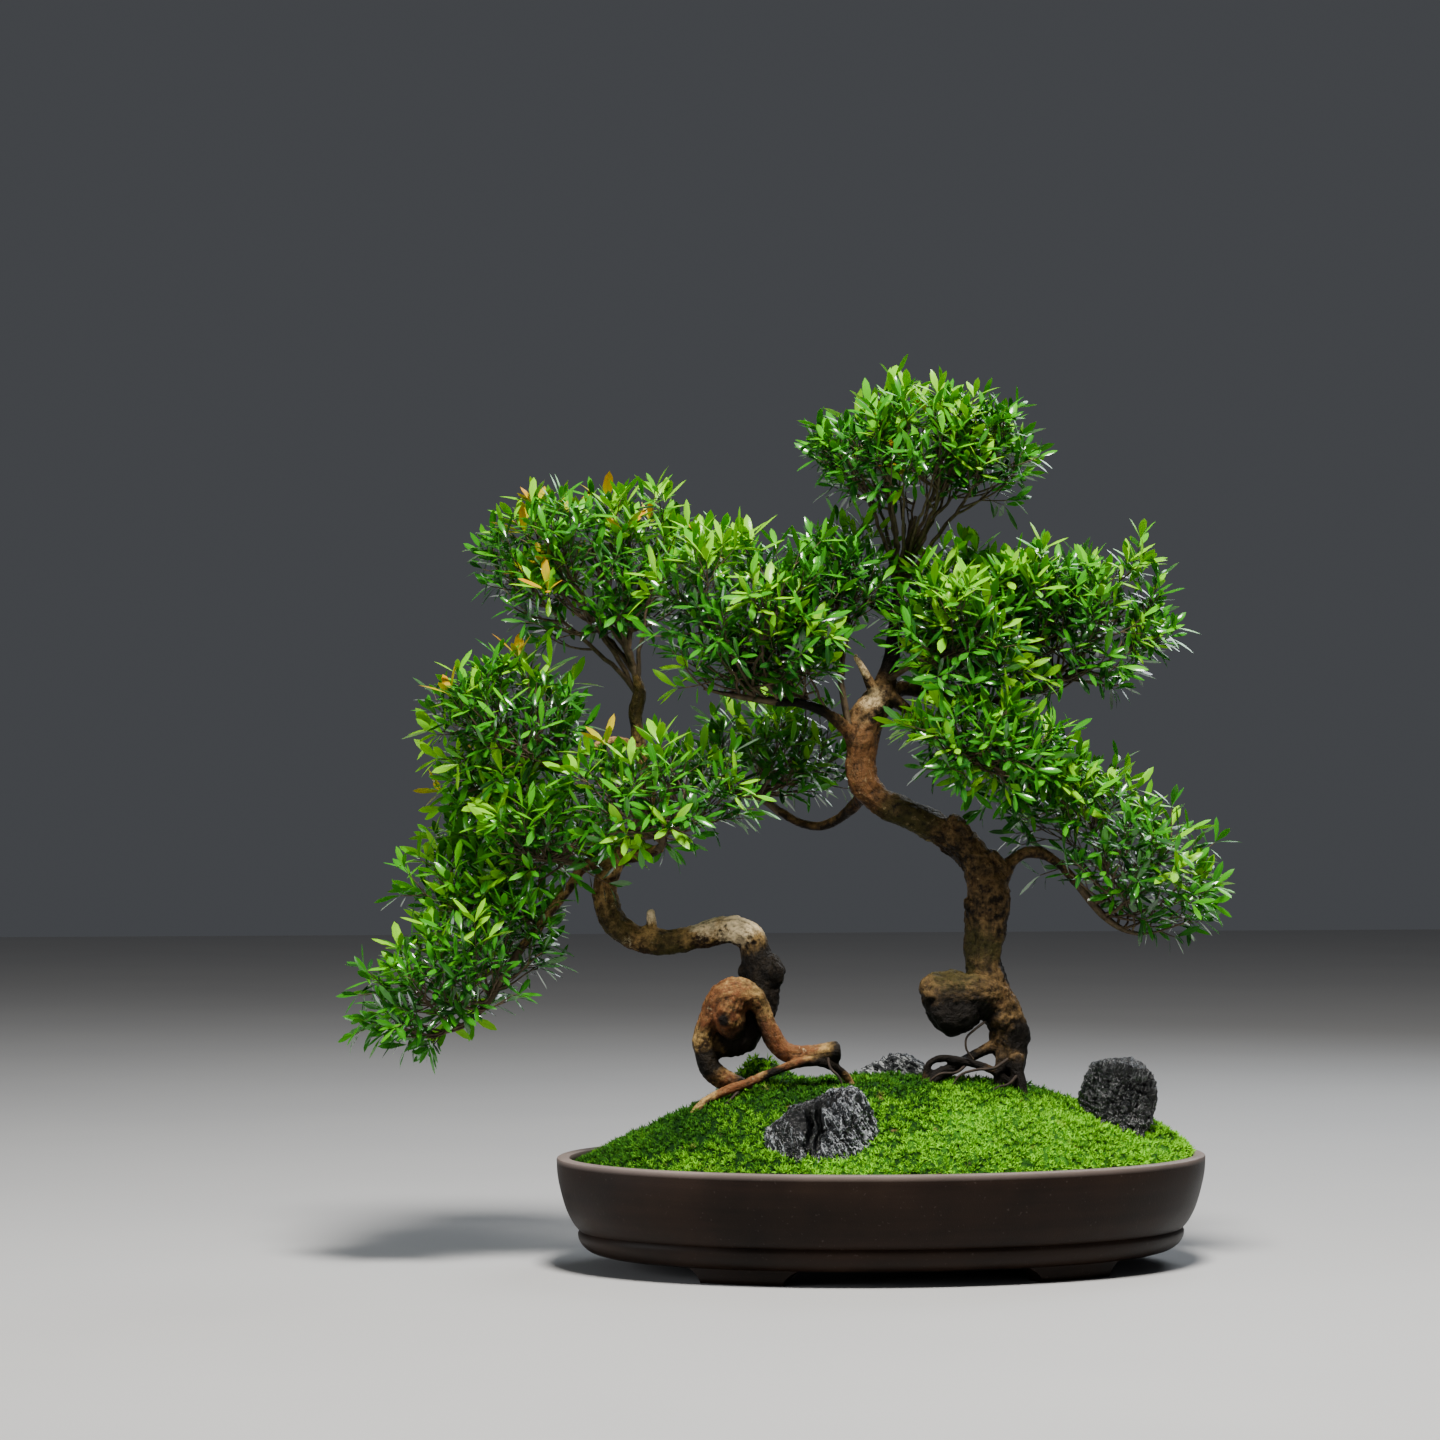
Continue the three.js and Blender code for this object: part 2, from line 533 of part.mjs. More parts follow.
/** The bumpy core inside a spray's leaves, as loose triangles. */
function coreGeometry({ centre, half, tilt }) {
  const [hx, hy, hz] = half.map((size) => size - FOLIAGE_DEPTH);
  const lumpy = reshape(new THREE.IcosahedronGeometry(1, 1), (p) => {
    const waves = Math.sin(7 * p.x + centre[0]) + Math.sin(6 * p.y + 5 * p.z + centre[2]);
    const bump = 1 + CORE_BUMP * waves;
    const sink = p.z < 0 ? UNDERSIDE : 1;
    return tilted(p.x * hx * bump, p.y * hy * bump, p.z * hz * bump * sink, tilt);
  });
  return lumpy.translate(...centre);
}

/** Twigs that fan out from a spray's stem into its core. */
function fan({ centre, half, tilt, stem, twigs }) {
  const line = stem.map(([x, y, z]) => new THREE.Vector3(x, y, z));
  const curve = new THREE.CatmullRomCurve3(line, false, "centripetal");
  const [reachX, reachY] = half.map((size) => (size - FOLIAGE_DEPTH) * TWIG_SPREAD);
  const thick = stem[stem.length - 1][3];
  return Array.from({ length: twigs }, (_, i) => {
    const turn = ((i + 0.5) / twigs) * 2 * Math.PI;
    const start = curve.getPoint(0.3 + 0.4 * ((i * 0.618) % 1));
    const end = tilted(Math.cos(turn) * reachX, Math.sin(turn) * reachY, 0, tilt);
    end.add(new THREE.Vector3(...centre));
    return toSolid(limb([[...start, thick], [...end, thick * TWIG_TAPER]], 3, start.distanceTo(end), 0, 0));
  });
}

/** The leaves of a spray: one grows from the middle of each face of its core, for a share of the faces. */
function leaves(spray, random) {
  const place = coreGeometry(spray).getAttribute("position");
  const corner = (i) => new THREE.Vector3().fromBufferAttribute(place, i);
  const found = [];
  for (let i = 0; i < place.count; i += 3) {
    const face = new THREE.Triangle(corner(i), corner(i + 1), corner(i + 2));
    const normal = face.getNormal(new THREE.Vector3());
    const aside = new THREE.Vector3(random() - 0.5, random() - 0.5, random()).cross(normal).normalize();
    const lean = LEAF_LEAN * (0.5 + random());
    const length = LEAF_LENGTH * (0.85 + 0.3 * random());
    const heading = normal.clone().multiplyScalar(Math.cos(lean)).addScaledVector(aside, Math.sin(lean));
    const facing = normal.clone().applyAxisAngle(heading, random() - 0.5);
    const foot = face.getMidpoint(new THREE.Vector3()).addScaledVector(heading, -LEAF_SUNK);
    const make = (grow) => {
      const blade = leafBlade(length + grow, LEAF_WIDTH + grow, LEAF_FOLD + grow);
      return toSolid(placeBlade(blade, foot, heading, facing));
    };
    if (random() < spray.leafShare) found.push({ leaf: make(0), wider: make(LEAF_CLEARANCE) });
  }
  return found;
}

/** Stem, twigs and core of a spray, cut clear of the trunk that carries it. */
function sprayWood(spray, trunkGrown) {
  const stem = limb(spray.stem, 5, BRANCH_STEP, 0, 0);
  const wood = fuse([toSolid(stem), toSolid(coreGeometry(spray)), ...fan(spray)]);
  return largest(wood.subtract(trunkGrown));
}

/** True if two solids share any volume. */
function meet(a, b) {
  const boxA = a.boundingBox();
  const boxB = b.boundingBox();
  const apart = [0, 1, 2].some((k) => boxA.min[k] > boxB.max[k] || boxB.min[k] > boxA.max[k]);
  return !apart && a.intersect(b).volume() > 0;
}

// The whole

const MATERIALS = {
  clay: new THREE.MeshStandardMaterial({ color: 0x3a2f2c, roughness: 0.72, metalness: 0 }),
  soil: new THREE.MeshStandardMaterial({ color: 0x2e2219, roughness: 1, metalness: 0 }),
  moss: new THREE.MeshStandardMaterial({ color: 0x4f9a1e, roughness: 1, metalness: 0 }),
  stone: new THREE.MeshStandardMaterial({ color: 0x2b2c2f, roughness: 0.5, metalness: 0 }),
  bark: new THREE.MeshStandardMaterial({ color: 0x6b4a2f, roughness: 0.9, metalness: 0 }),
  leaf: new THREE.MeshStandardMaterial({ color: 0x3d8a22, roughness: 0.4, metalness: 0 }),
  screen: new THREE.MeshStandardMaterial({ color: 0x1c1c1c, roughness: 0.6, metalness: 0 }),
};

/** A named mesh of a solid. */
function piece(name, solid, material) {
  const mesh = new THREE.Mesh(toGeometry(solid), material);
  mesh.name = name;
  return mesh;
}

const trunks = [trunk(LEFT_LIMBS), trunk(RIGHT_LIMBS)];
const trunksGrown = fuse([trunk(LEFT_LIMBS, SEAT_GAP), trunk(RIGHT_LIMBS, SEAT_GAP)]);
const stones = Object.entries(STONES).map(([name, spec]) => {
  return { name, solid: stone(spec), grown: stone(spec, SEAT_GAP) };
});
const planted = fuse([trunksGrown, ...stones.map(({ grown }) => grown)]).rotate([0, 0, PLANTING_TURN]);

const sprays = Object.entries(SPRAYS).map(([name, spec]) => {
  return { name, spec, solid: sprayWood(spec, trunksGrown) };
});
for (const [i, spray] of sprays.entries()) {
  const others = [trunksGrown, ...sprays.filter((other) => other !== spray).map(({ solid }) => solid)];
  const grown = leaves(spray.spec, seeded(i + 1));
  const clear = grown.filter(({ wider }) => !others.some((other) => meet(wider, other)));
  spray.solid = largest(fuse([spray.solid, ...clear.map(({ leaf }) => leaf)]));
}

const planting = new THREE.Group();
planting.rotation.z = THREE.MathUtils.degToRad(PLANTING_TURN);
planting.add(piece("left_trunk", trunks[0], MATERIALS.bark));
planting.add(piece("right_trunk", trunks[1], MATERIALS.bark));
for (const { name, solid } of stones) planting.add(piece(name, solid, MATERIALS.stone));
for (const { name, solid } of sprays) planting.add(piece(name, solid, MATERIALS.leaf));

const bonsai = new THREE.Group();
bonsai.add(
  piece("pot", pot(), MATERIALS.clay),
  piece("soil", largest(soil().subtract(planted)), MATERIALS.soil),
  piece("moss", largest(moss().subtract(planted)), MATERIALS.moss),
  piece("left_drain_screen", drainScreen(-1), MATERIALS.screen),
  piece("right_drain_screen", drainScreen(1), MATERIALS.screen),
  planting,
);

// The origin is the middle of the whole object's footprint, on what it stands on.
bonsai.updateMatrixWorld(true);
const middle = new THREE.Box3().setFromObject(bonsai, true).getCenter(new THREE.Vector3());
const part = new THREE.Group();
bonsai.position.set(-middle.x, -middle.y, 0);
part.add(bonsai);

export default part;
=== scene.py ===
"""Looks of a boxleaf eugenia bonsai: two gnarled trees on a mossy mound in an oval clay pot.

Sizes are in millimetres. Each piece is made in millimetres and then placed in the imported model's frame, in
metres. The trees are laid out in the planting's own frame: x to the right seen from the front, y away from
the viewer and z up from what the pot stands on. That frame is turned a little in the pot.
"""

import json
import logging
import math
import random
from collections.abc import Sequence
from dataclasses import dataclass, field
from enum import Enum

import bpy
import numpy as np
from mathutils import Matrix, Vector, noise

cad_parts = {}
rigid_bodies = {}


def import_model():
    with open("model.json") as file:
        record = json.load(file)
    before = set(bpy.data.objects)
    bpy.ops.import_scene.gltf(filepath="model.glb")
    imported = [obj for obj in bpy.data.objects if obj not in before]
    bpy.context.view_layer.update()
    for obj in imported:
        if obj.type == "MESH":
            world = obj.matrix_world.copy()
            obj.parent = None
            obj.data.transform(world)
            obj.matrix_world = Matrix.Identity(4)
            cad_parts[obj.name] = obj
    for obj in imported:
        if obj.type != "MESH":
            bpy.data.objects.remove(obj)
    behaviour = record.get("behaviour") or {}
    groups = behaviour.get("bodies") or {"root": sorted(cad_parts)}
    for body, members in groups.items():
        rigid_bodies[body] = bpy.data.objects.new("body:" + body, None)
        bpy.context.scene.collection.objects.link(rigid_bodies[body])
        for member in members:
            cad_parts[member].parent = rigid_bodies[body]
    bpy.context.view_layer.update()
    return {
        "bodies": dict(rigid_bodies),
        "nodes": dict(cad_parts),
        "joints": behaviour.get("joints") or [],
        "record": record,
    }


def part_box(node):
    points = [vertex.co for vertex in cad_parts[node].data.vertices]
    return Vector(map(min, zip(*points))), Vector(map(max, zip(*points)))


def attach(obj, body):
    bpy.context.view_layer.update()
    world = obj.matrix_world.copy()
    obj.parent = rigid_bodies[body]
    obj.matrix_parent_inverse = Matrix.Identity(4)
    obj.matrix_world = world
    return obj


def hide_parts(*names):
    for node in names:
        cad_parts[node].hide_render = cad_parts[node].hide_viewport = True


LOG = logging.getLogger("bonsai")
MM = 0.001
BODY = "root"
UP = Vector((0.0, 0.0, 1.0))
GOLDEN_TURN = math.pi * (3.0 - math.sqrt(5.0))
PLANTING_TURN = math.radians(-10.0)  # how far the trees' front is turned in the pot
RELIEF_HEIGHT = 7.6  # what the relief of the bark spans
LUMP_HEIGHT = 9.0  # what the swellings under it span
FULL_GIRTH = 13.0  # the radius from which a limb's bark has its full height
NOISE_SEED = 7  # without it the vector noise on the stones differs from run to run

Colour = tuple[float, float, float]
Point = tuple[float, float, float]
Station = tuple[float, float, float, float]  # a point on a limb's centre line, and the limb's radius there
Outline = tuple[tuple[float, float], ...]  # a stretch of the pot's wall, as pairs of inset and height
Line = Sequence[tuple[Vector, float]]  # a curve's points, each with its radius


# Node trees


class Term:
    """A value in a node tree: arithmetic on it adds Math nodes."""

    def __init__(self, graph: "Graph", socket: bpy.types.NodeSocket) -> None:
        """Keeps the tree, and the socket that the value comes from."""
        self.graph = graph
        self.socket = socket

    def math(self, operation: str, *values: object) -> "Term":
        """Adds one Math node.

        Args:
            operation: The node's operation, such as "ADD".
            values: What its sockets take, in order.

        Returns:
            The node's result.
        """
        return self.graph.value("ShaderNodeMath", {"operation": operation}, dict(enumerate(values)))

    def __add__(self, other: object) -> "Term":
        """The sum."""
        return self.math("ADD", self, other)

    def __sub__(self, other: object) -> "Term":
        """The difference."""
        return self.math("SUBTRACT", self, other)

    def __rsub__(self, other: object) -> "Term":
        """The difference, the other way round."""
        return self.math("SUBTRACT", other, self)

    def __mul__(self, other: object) -> "Term":
        """The product."""
        return self.math("MULTIPLY", self, other)

    __radd__ = __add__
    __rmul__ = __mul__

    def size(self) -> "Term":
        """The value without its sign."""
        return self.math("ABSOLUTE", self)

    def above(self, level: float) -> "Term":
        """1 where the value is over a level, else 0."""
        return self.math("GREATER_THAN", self, level)

    def larger(self, other: object) -> "Term":
        """The larger of two values."""
        return self.math("MAXIMUM", self, other)

    def share(self, low: float, high: float) -> "Term":
        """How far the value is on its way from low to high, from 0 to 1."""
        return self.graph.value("ShaderNodeMapRange", {}, {0: self, 1: low, 2: high})


class Graph:
    """A node tree whose nodes all come from one method."""

    def __init__(self, tree: bpy.types.NodeTree) -> None:
        """Keeps the tree that the nodes go into."""
        self.tree = tree

    def node(
        self,
        kind: str,
        settings: dict[str, object] | None = None,
        sockets: dict[str | int, object] | None = None,
    ) -> bpy.types.Node:
        """Adds a node.

        Args:
            kind: The node's type.
            settings: Its own properties, set first; "stops" are a ramp's (place, colour) pairs.
            sockets: What its inputs take: values, terms or other sockets.

        Returns:
            The node.
        """
        made = self.tree.nodes.new(kind)
        for name, value in (settings or {}).items():
            if name == "stops":
                self._set_stops(made.color_ramp, value)
            else:
                setattr(made, name, value)
        for key, value in (sockets or {}).items():
            self.feed(made.inputs[key], value)
        return made

    def value(
        self,
        kind: str,
        settings: dict[str, object] | None = None,
        sockets: dict[str | int, object] | None = None,
        output: str | int = 0,
    ) -> Term:
        """Adds a node, and gives one of its outputs as a term."""
        return Term(self, self.node(kind, settings, sockets).outputs[output])

    def feed(self, socket: bpy.types.NodeSocket, value: object) -> None:
        """Links or sets an input socket.

        Args:
            socket: The input.
            value: A term or an output to link, or the value to set.
        """
        if isinstance(value, Term):
            value = value.socket
        if isinstance(value, bpy.types.NodeSocket):
            self.tree.links.new(value, socket)
        elif isinstance(value, tuple) and socket.type == "RGBA":
            socket.default_value = (*value, 1.0)
        else:
            socket.default_value = value

    def _set_stops(self, ramp: bpy.types.ColorRamp, stops: Sequence[tuple[float, Colour]]) -> None:
        """Gives a colour ramp its stops.

        Args:
            ramp: The ramp.
            stops: Each stop's place and colour.
        """
        while len(ramp.elements) < len(stops):
            ramp.elements.new(0.5)
        for element, (place, colour) in zip(ramp.elements, stops):
            element.position = place
            element.color = (*colour, 1.0)

    def mix(self, factor: object, first: object, second: object) -> Term:
        """A blend of two colours, by the Mix node's colour sockets: 6 and 7 in, and 2 out."""
        return self.value("ShaderNodeMix", {"data_type": "RGBA"}, {0: factor, 6: first, 7: second}, 2)

    def ramp(self, factor: object, stops: Sequence[tuple[float, Colour]]) -> Term:
        """A colour taken from a ramp."""
        return self.value("ShaderNodeValToRGB", {"stops": stops}, {0: factor})

    def noise(self, at: object, scale: float, detail: float = 3.0, rough: float = 0.55) -> Term:
        """Noise from 0 to 1 at a place."""
        sockets = {"Vector": at, "Scale": scale, "Detail": detail, "Roughness": rough}
        return self.value("ShaderNodeTexNoise", {}, sockets, 0)

    def stretched(self, at: object, stretch: Point) -> Term:
        """A place whose axes are scaled unevenly."""
        return self.value("ShaderNodeVectorMath", {"operation": "MULTIPLY"}, {0: at, 1: stretch})

    def scaled(self, vector: object, scale: object) -> Term:
        """A vector times a number."""
        return self.value("ShaderNodeVectorMath", {"operation": "SCALE"}, {0: vector, "Scale": scale})

    def part(self, vector: object, axis: str) -> Term:
        """One part of a vector: X, Y or Z."""
        return self.value("ShaderNodeSeparateXYZ", {}, {0: vector}, axis)


class Paint(Graph):
    """A material's node tree, with its shader."""

    def __init__(self, name: str, **fixed: object) -> None:
        """Starts a material.

        Args:
            name: The material's name.
            fixed: The shader's sockets that are the same all over, with _ for a space.
        """
        self.material = bpy.data.materials.new(name)
        self.material.use_nodes = True
        super().__init__(self.material.node_tree)
        self.tree.nodes.clear()
        sockets = {key.replace("_", " "): value for key, value in fixed.items()}
        self.shader = self.node("ShaderNodeBsdfPrincipled", {}, sockets)
        self.node("ShaderNodeOutputMaterial", {}, {"Surface": self.shader.outputs[0]})

    def place(self) -> Term:
        """The place on the piece, in metres."""
        return self.value("ShaderNodeTexCoord", output="Object")

    def layer(self, name: str, output: str = "Fac") -> Term:
        """An attribute of the mesh, as a number (Fac) or as a vector (Vector)."""
        return self.value("ShaderNodeAttribute", {"attribute_name": name}, output=output)

    def facing_up(self) -> Term:
        """How far the surface faces up, from -1 to 1."""
        return self.part(self.value("ShaderNodeNewGeometry", output="Normal"), "Z")

    def glow(self, reach: Point) -> None:
        """Lets light into thin parts, so many metres deep in each colour."""
        self.shader.inputs["Subsurface Radius"].default_value = reach
        self.shader.inputs["Subsurface Scale"].default_value = 1.0

    def finish(self, colour: Term, roughness: object, height: Term, depth: float) -> bpy.types.Material:
        """Links what changes over the surface.

        Args:
            colour: The base colour.
            roughness: The roughness, a term or a number.
            height: The relief, from 0 to 1.
            depth: The relief's height in metres.

        Returns:
            The finished material.
        """
        bump = self.value("ShaderNodeBump", {}, {"Height": height, "Distance": depth, "Strength": 1.0})
        self.feed(self.shader.inputs["Base Color"], colour)
        self.feed(self.shader.inputs["Roughness"], roughness)
        self.feed(self.shader.inputs["Normal"], bump)
        return self.material


class Recipe(Graph):
    """A Geometry Nodes tree with named inputs."""

    def __init__(self, name: str, inputs: dict[str, str]) -> None:
        """Starts a tree.

        Args:
            name: The tree's name.
            inputs: The name of each input, with its kind, such as Float or Object.
        """
        super().__init__(bpy.data.node_groups.new(name, "GeometryNodeTree"))
        sockets = self.tree.interface
        sockets.new_socket("Geometry", in_out="OUTPUT", socket_type="NodeSocketGeometry")
        sockets.new_socket("Geometry", in_out="INPUT", socket_type="NodeSocketGeometry")
        for title, kind in inputs.items():
            sockets.new_socket(title, in_out="INPUT", socket_type=f"NodeSocket{kind}")
        self.entry = self.node("NodeGroupInput")
        self.exit = self.node("NodeGroupOutput")

    def given(self, name: str) -> Term:
        """One of the tree's inputs."""
        return Term(self, self.entry.outputs[name])

    def named(self, name: str, kind: str = "FLOAT") -> Term:
        """An attribute of the geometry."""
        return self.value("GeometryNodeInputNamedAttribute", {"data_type": kind}, {"Name": name})

    def thing(self, name: str) -> Term:
        """The geometry of the object that one of the tree's inputs takes."""
        return self.value("GeometryNodeObjectInfo", {}, {"Object": self.given(name)}, "Geometry")

    def store(self, geometry: object, name: str, value: Term, kind: str = "FLOAT") -> Term:
        """The geometry with one more attribute on its points."""
        sockets = {"Geometry": geometry, "Name": name, "Value": value}
        return self.value("GeometryNodeStoreNamedAttribute", {"data_type": kind}, sockets)

    def moved(self, geometry: object, offset: Term) -> Term:
        """The geometry with its points moved."""
        return self.value("GeometryNodeSetPosition", {}, {"Geometry": geometry, "Offset": offset})

    def plant(self, points: object, name: str, turned: Term, size: Term) -> None:
        """Sets the object that an input takes on every point, and ends the tree.

        Args:
            points: The points.
            name: The input that takes the object.
            turned: How each copy is turned.
            size: How each copy is scaled.
        """
        sockets = {"Points": points, "Instance": self.thing(name), "Rotation": turned, "Scale": size}
        self.deliver(self.value("GeometryNodeInstanceOnPoints", {}, sockets))

    def deliver(self, geometry: object) -> None:
        """Realises the instances, sets the finish and ends the tree.

        Args:
            geometry: What the tree has made.
        """
        real = self.value("GeometryNodeRealizeInstances", {}, {0: geometry})
        sockets = {"Geometry": real, "Material": self.given("Finish")}
        self.feed(self.exit.inputs[0], self.value("GeometryNodeSetMaterial", {}, sockets))

    def add_to(self, obj: bpy.types.Object, values: dict[str, object]) -> None:
        """Adds the tree to an object as a modifier.

        Args:
            obj: The object.
            values: What the tree's inputs take, by name.
        """
        modifier = obj.modifiers.new(self.tree.name, "NODES")
        modifier.node_group = self.tree
        for item in self.tree.interface.items_tree:
            if item.in_out == "INPUT" and item.name in values:
                modifier[item.identifier] = values[item.name]


# Meshes


@dataclass
class Shape:
    """Loose mesh data in millimetres, with values for each point."""

    points: list[Sequence[float]] = field(default_factory=list)
    edges: list[Sequence[int]] = field(default_factory=list)
    faces: list[Sequence[int]] = field(default_factory=list)
    layers: dict[str, list] = field(default_factory=dict)

    def note(self, **values: object) -> None:
        """Adds one point's values to their layers."""
        for name, value in values.items():
            self.layers.setdefault(name, []).append(value)

    def build(self, name: str, smooth: bool = True) -> bpy.types.Object:
        """Makes an object of the data.

        Args:
            name: The object's name.
            smooth: Whether its faces are shaded smooth.

        Returns:
            The object, linked to the scene.
        """
        mesh = bpy.data.meshes.new(name)
        mesh.from_pydata([tuple(point) for point in self.points], self.edges, self.faces)
        for title, values in self.layers.items():
            add_layer(mesh, title, np.array(values, float))
        if smooth:
            mesh.shade_smooth()
        else:
            mesh.shade_flat()
        return add_object(name, mesh)


def add_object(name: str, data: bpy.types.ID) -> bpy.types.Object:
    """Makes an object.

    Args:
        name: Its name.
        data: Its mesh, camera or light.

    Returns:
        The object, linked to the scene.
    """
    made = bpy.data.objects.new(name, data)
    bpy.context.scene.collection.objects.link(made)
    return made


def add_layer(mesh: bpy.types.Mesh, name: str, values: np.ndarray) -> None:
    """Adds an attribute to a mesh's points.

    Args:
        mesh: The mesh.
        name: The attribute's name.
        values: One number or one vector for each point.
    """
    kind, key = ("FLOAT", "value") if values.ndim == 1 else ("FLOAT_VECTOR", "vector")
    mesh.attributes.new(name, kind, "POINT").data.foreach_set(key, values.ravel())


def settle(source: bpy.types.Object, name: str, place: Matrix) -> bpy.types.Object:
    """Turns an object with its modifiers into a plain mesh.

    Args:
        source: The object, which is removed.
        name: The new object's name.
        place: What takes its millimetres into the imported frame.

    Returns:
        The new object, at the origin.
    """
    bpy.context.view_layer.update()
    graph = bpy.context.evaluated_depsgraph_get()
    shown = source.evaluated_get(graph)
    mesh = bpy.data.meshes.new_from_object(shown, preserve_all_data_layers=True, depsgraph=graph)
    mesh.name = name
    mesh.transform(place)
    bpy.data.objects.remove(source)
    return add_object(name, mesh)


def register(piece: bpy.types.Object, slot: str, *nodes: str) -> bpy.types.Object:
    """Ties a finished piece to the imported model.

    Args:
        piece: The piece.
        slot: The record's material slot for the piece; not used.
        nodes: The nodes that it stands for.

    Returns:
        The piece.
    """
    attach(piece, BODY)
    if nodes:
        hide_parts(*nodes)
    faces = sum(len(face.vertices) - 2 for face in piece.data.polygons)
    LOG.info("%s: %d triangles", piece.name, faces)
    return piece


def hermite(start: Vector, end: Vector, leave: Vector, arrive: Vector, share: float) -> Vector:
    """A point on a cubic curve.

    Args:
        start: Where the curve starts.
        end: Where it ends.
        leave: Its tangent at the start.
        arrive: Its tangent at the end.
        share: How far along it the point is, from 0 to 1.

    Returns:
        The point.
    """
    s2, s3 = share * share, share**3
    ends = (2 * s3 - 3 * s2 + 1, 3 * s2 - 2 * s3)
    return start * ends[0] + leave * (s3 - 2 * s2 + share) + end * ends[1] + arrive * (s3 - s2)


def smooth_line(stations: Sequence[Station], step: float) -> list[tuple[Vector, float]]:
    """Points and radii along a centripetal curve through a limb's stations.

    Args:
        stations: The stations.
        step: The distance between two points of the result, about.

    Returns:
        The points, each with the limb's radius there.
    """
    knots = [Vector(station[:3]) for station in stations]
    knots = [2 * knots[0] - knots[1], *knots, 2 * knots[-1] - knots[-2]]
    found = []
    for i in range(len(stations) - 1):
        before, start, end, after = knots[i : i + 4]
        d0, d1, d2 = ((b - a).length ** 0.5 for a, b in ((before, start), (start, end), (end, after)))
        leave = (start - before) / d0 - (end - before) / (d0 + d1) + (end - start) / d1
        arrive = (end - start) / d1 - (after - start) / (d1 + d2) + (after - end) / d2
        count = max(1, round((end - start).length / step))
        for j in range(count):
            share = j / count
            radius = stations[i][3] + (stations[i + 1][3] - stations[i][3]) * share
            found.append((hermite(start, end, leave * d1, arrive * d1, share), radius))
    found.append((knots[-2], stations[-1][3]))
    return found


def side_of(axis: Vector, hint: Vector) -> Vector:
    """A unit vector across an axis, as near to a hint as it can be."""
    across = hint - axis * hint.dot(axis)
    return across.normalized() if across.length > 1e-4 else axis.orthogonal().normalized()


def turned_about(axis: Vector, turn: float) -> Vector:
    """A unit vector across an axis, turned about it from its upper side."""
    across = side_of(axis, UP)
    return across * math.cos(turn) + axis.cross(across) * math.sin(turn)


def heading_of(rise: float, turn: float) -> Vector:
    """The unit vector of a height and of a turn about the upright axis."""
    out = math.sqrt(max(0.0, 1.0 - rise * rise))
    return Vector((out * math.cos(turn), out * math.sin(turn), rise))


def scattered(rng: random.Random, reach: float) -> Vector:
    """A vector whose parts are drawn between -reach and reach."""
    return Vector(rng.uniform(-reach, reach) for _ in range(3))


def clamp(value: float) -> float:
    """The value, held between 0 and 1."""
    return min(max(value, 0.0), 1.0)


def aim(spot: Vector, target: Vector) -> Matrix:
    """The place of a camera or a light that looks from one point at another."""
    return Matrix.Translation(spot) @ (target - spot).to_track_quat("-Z", "Y").to_matrix().to_4x4()


# Finishes


@dataclass(frozen=True)
class UnglazedClay:
    """Dark stoneware: smooth, faintly mottled and streaked by the turning, lighter along its rim, partly from
    wear and partly as a painted highlight.
    """

    dark: Colour = (0.0036, 0.0018, 0.0010)
    light: Colour = (0.0190, 0.0100, 0.0060)
    # the colour of the rim's top, partly wear and partly a painted highlight; the specks take it too
    worn: Colour = (0.250, 0.200, 0.180)
    rim_height: float = 0.0755  # metres
    rim_blur: float = 0.002  # metres that the wear and the painted highlight take to end

    def material(self) -> bpy.types.Material:
        """Makes the material.

        Returns:
            The material.
        """
        paint = Paint("unglazed_clay", Specular_IOR_Level=0.12)
        at = paint.place()
        mottle = paint.noise(at, 14.0, 4.0)
        streak = paint.noise(paint.stretched(at, (6.0, 6.0, 160.0)), 1.0, 4.0)
        grain = paint.noise(at, 900.0, 2.0)
        speck = paint.noise(at, 420.0, 1.0).share(0.70, 0.78)
        body = paint.mix((mottle * 0.7 + streak * 0.3).share(0.32, 0.68), self.dark, self.light)
        # painted highlight: the rim's top is lightened, partly as wear
        rim_wear_and_sheen = paint.part(at, "Z").share(self.rim_height - self.rim_blur, self.rim_height + self.rim_blur)
        rim = rim_wear_and_sheen * (0.35 + mottle * 0.6)
        colour = paint.mix(speck * 0.10, paint.mix(rim, body, self.worn), self.worn)
        relief = grain * 0.6 + streak * 0.4
        return paint.finish(colour, 0.34 + mottle * 0.3, relief, 0.00025)


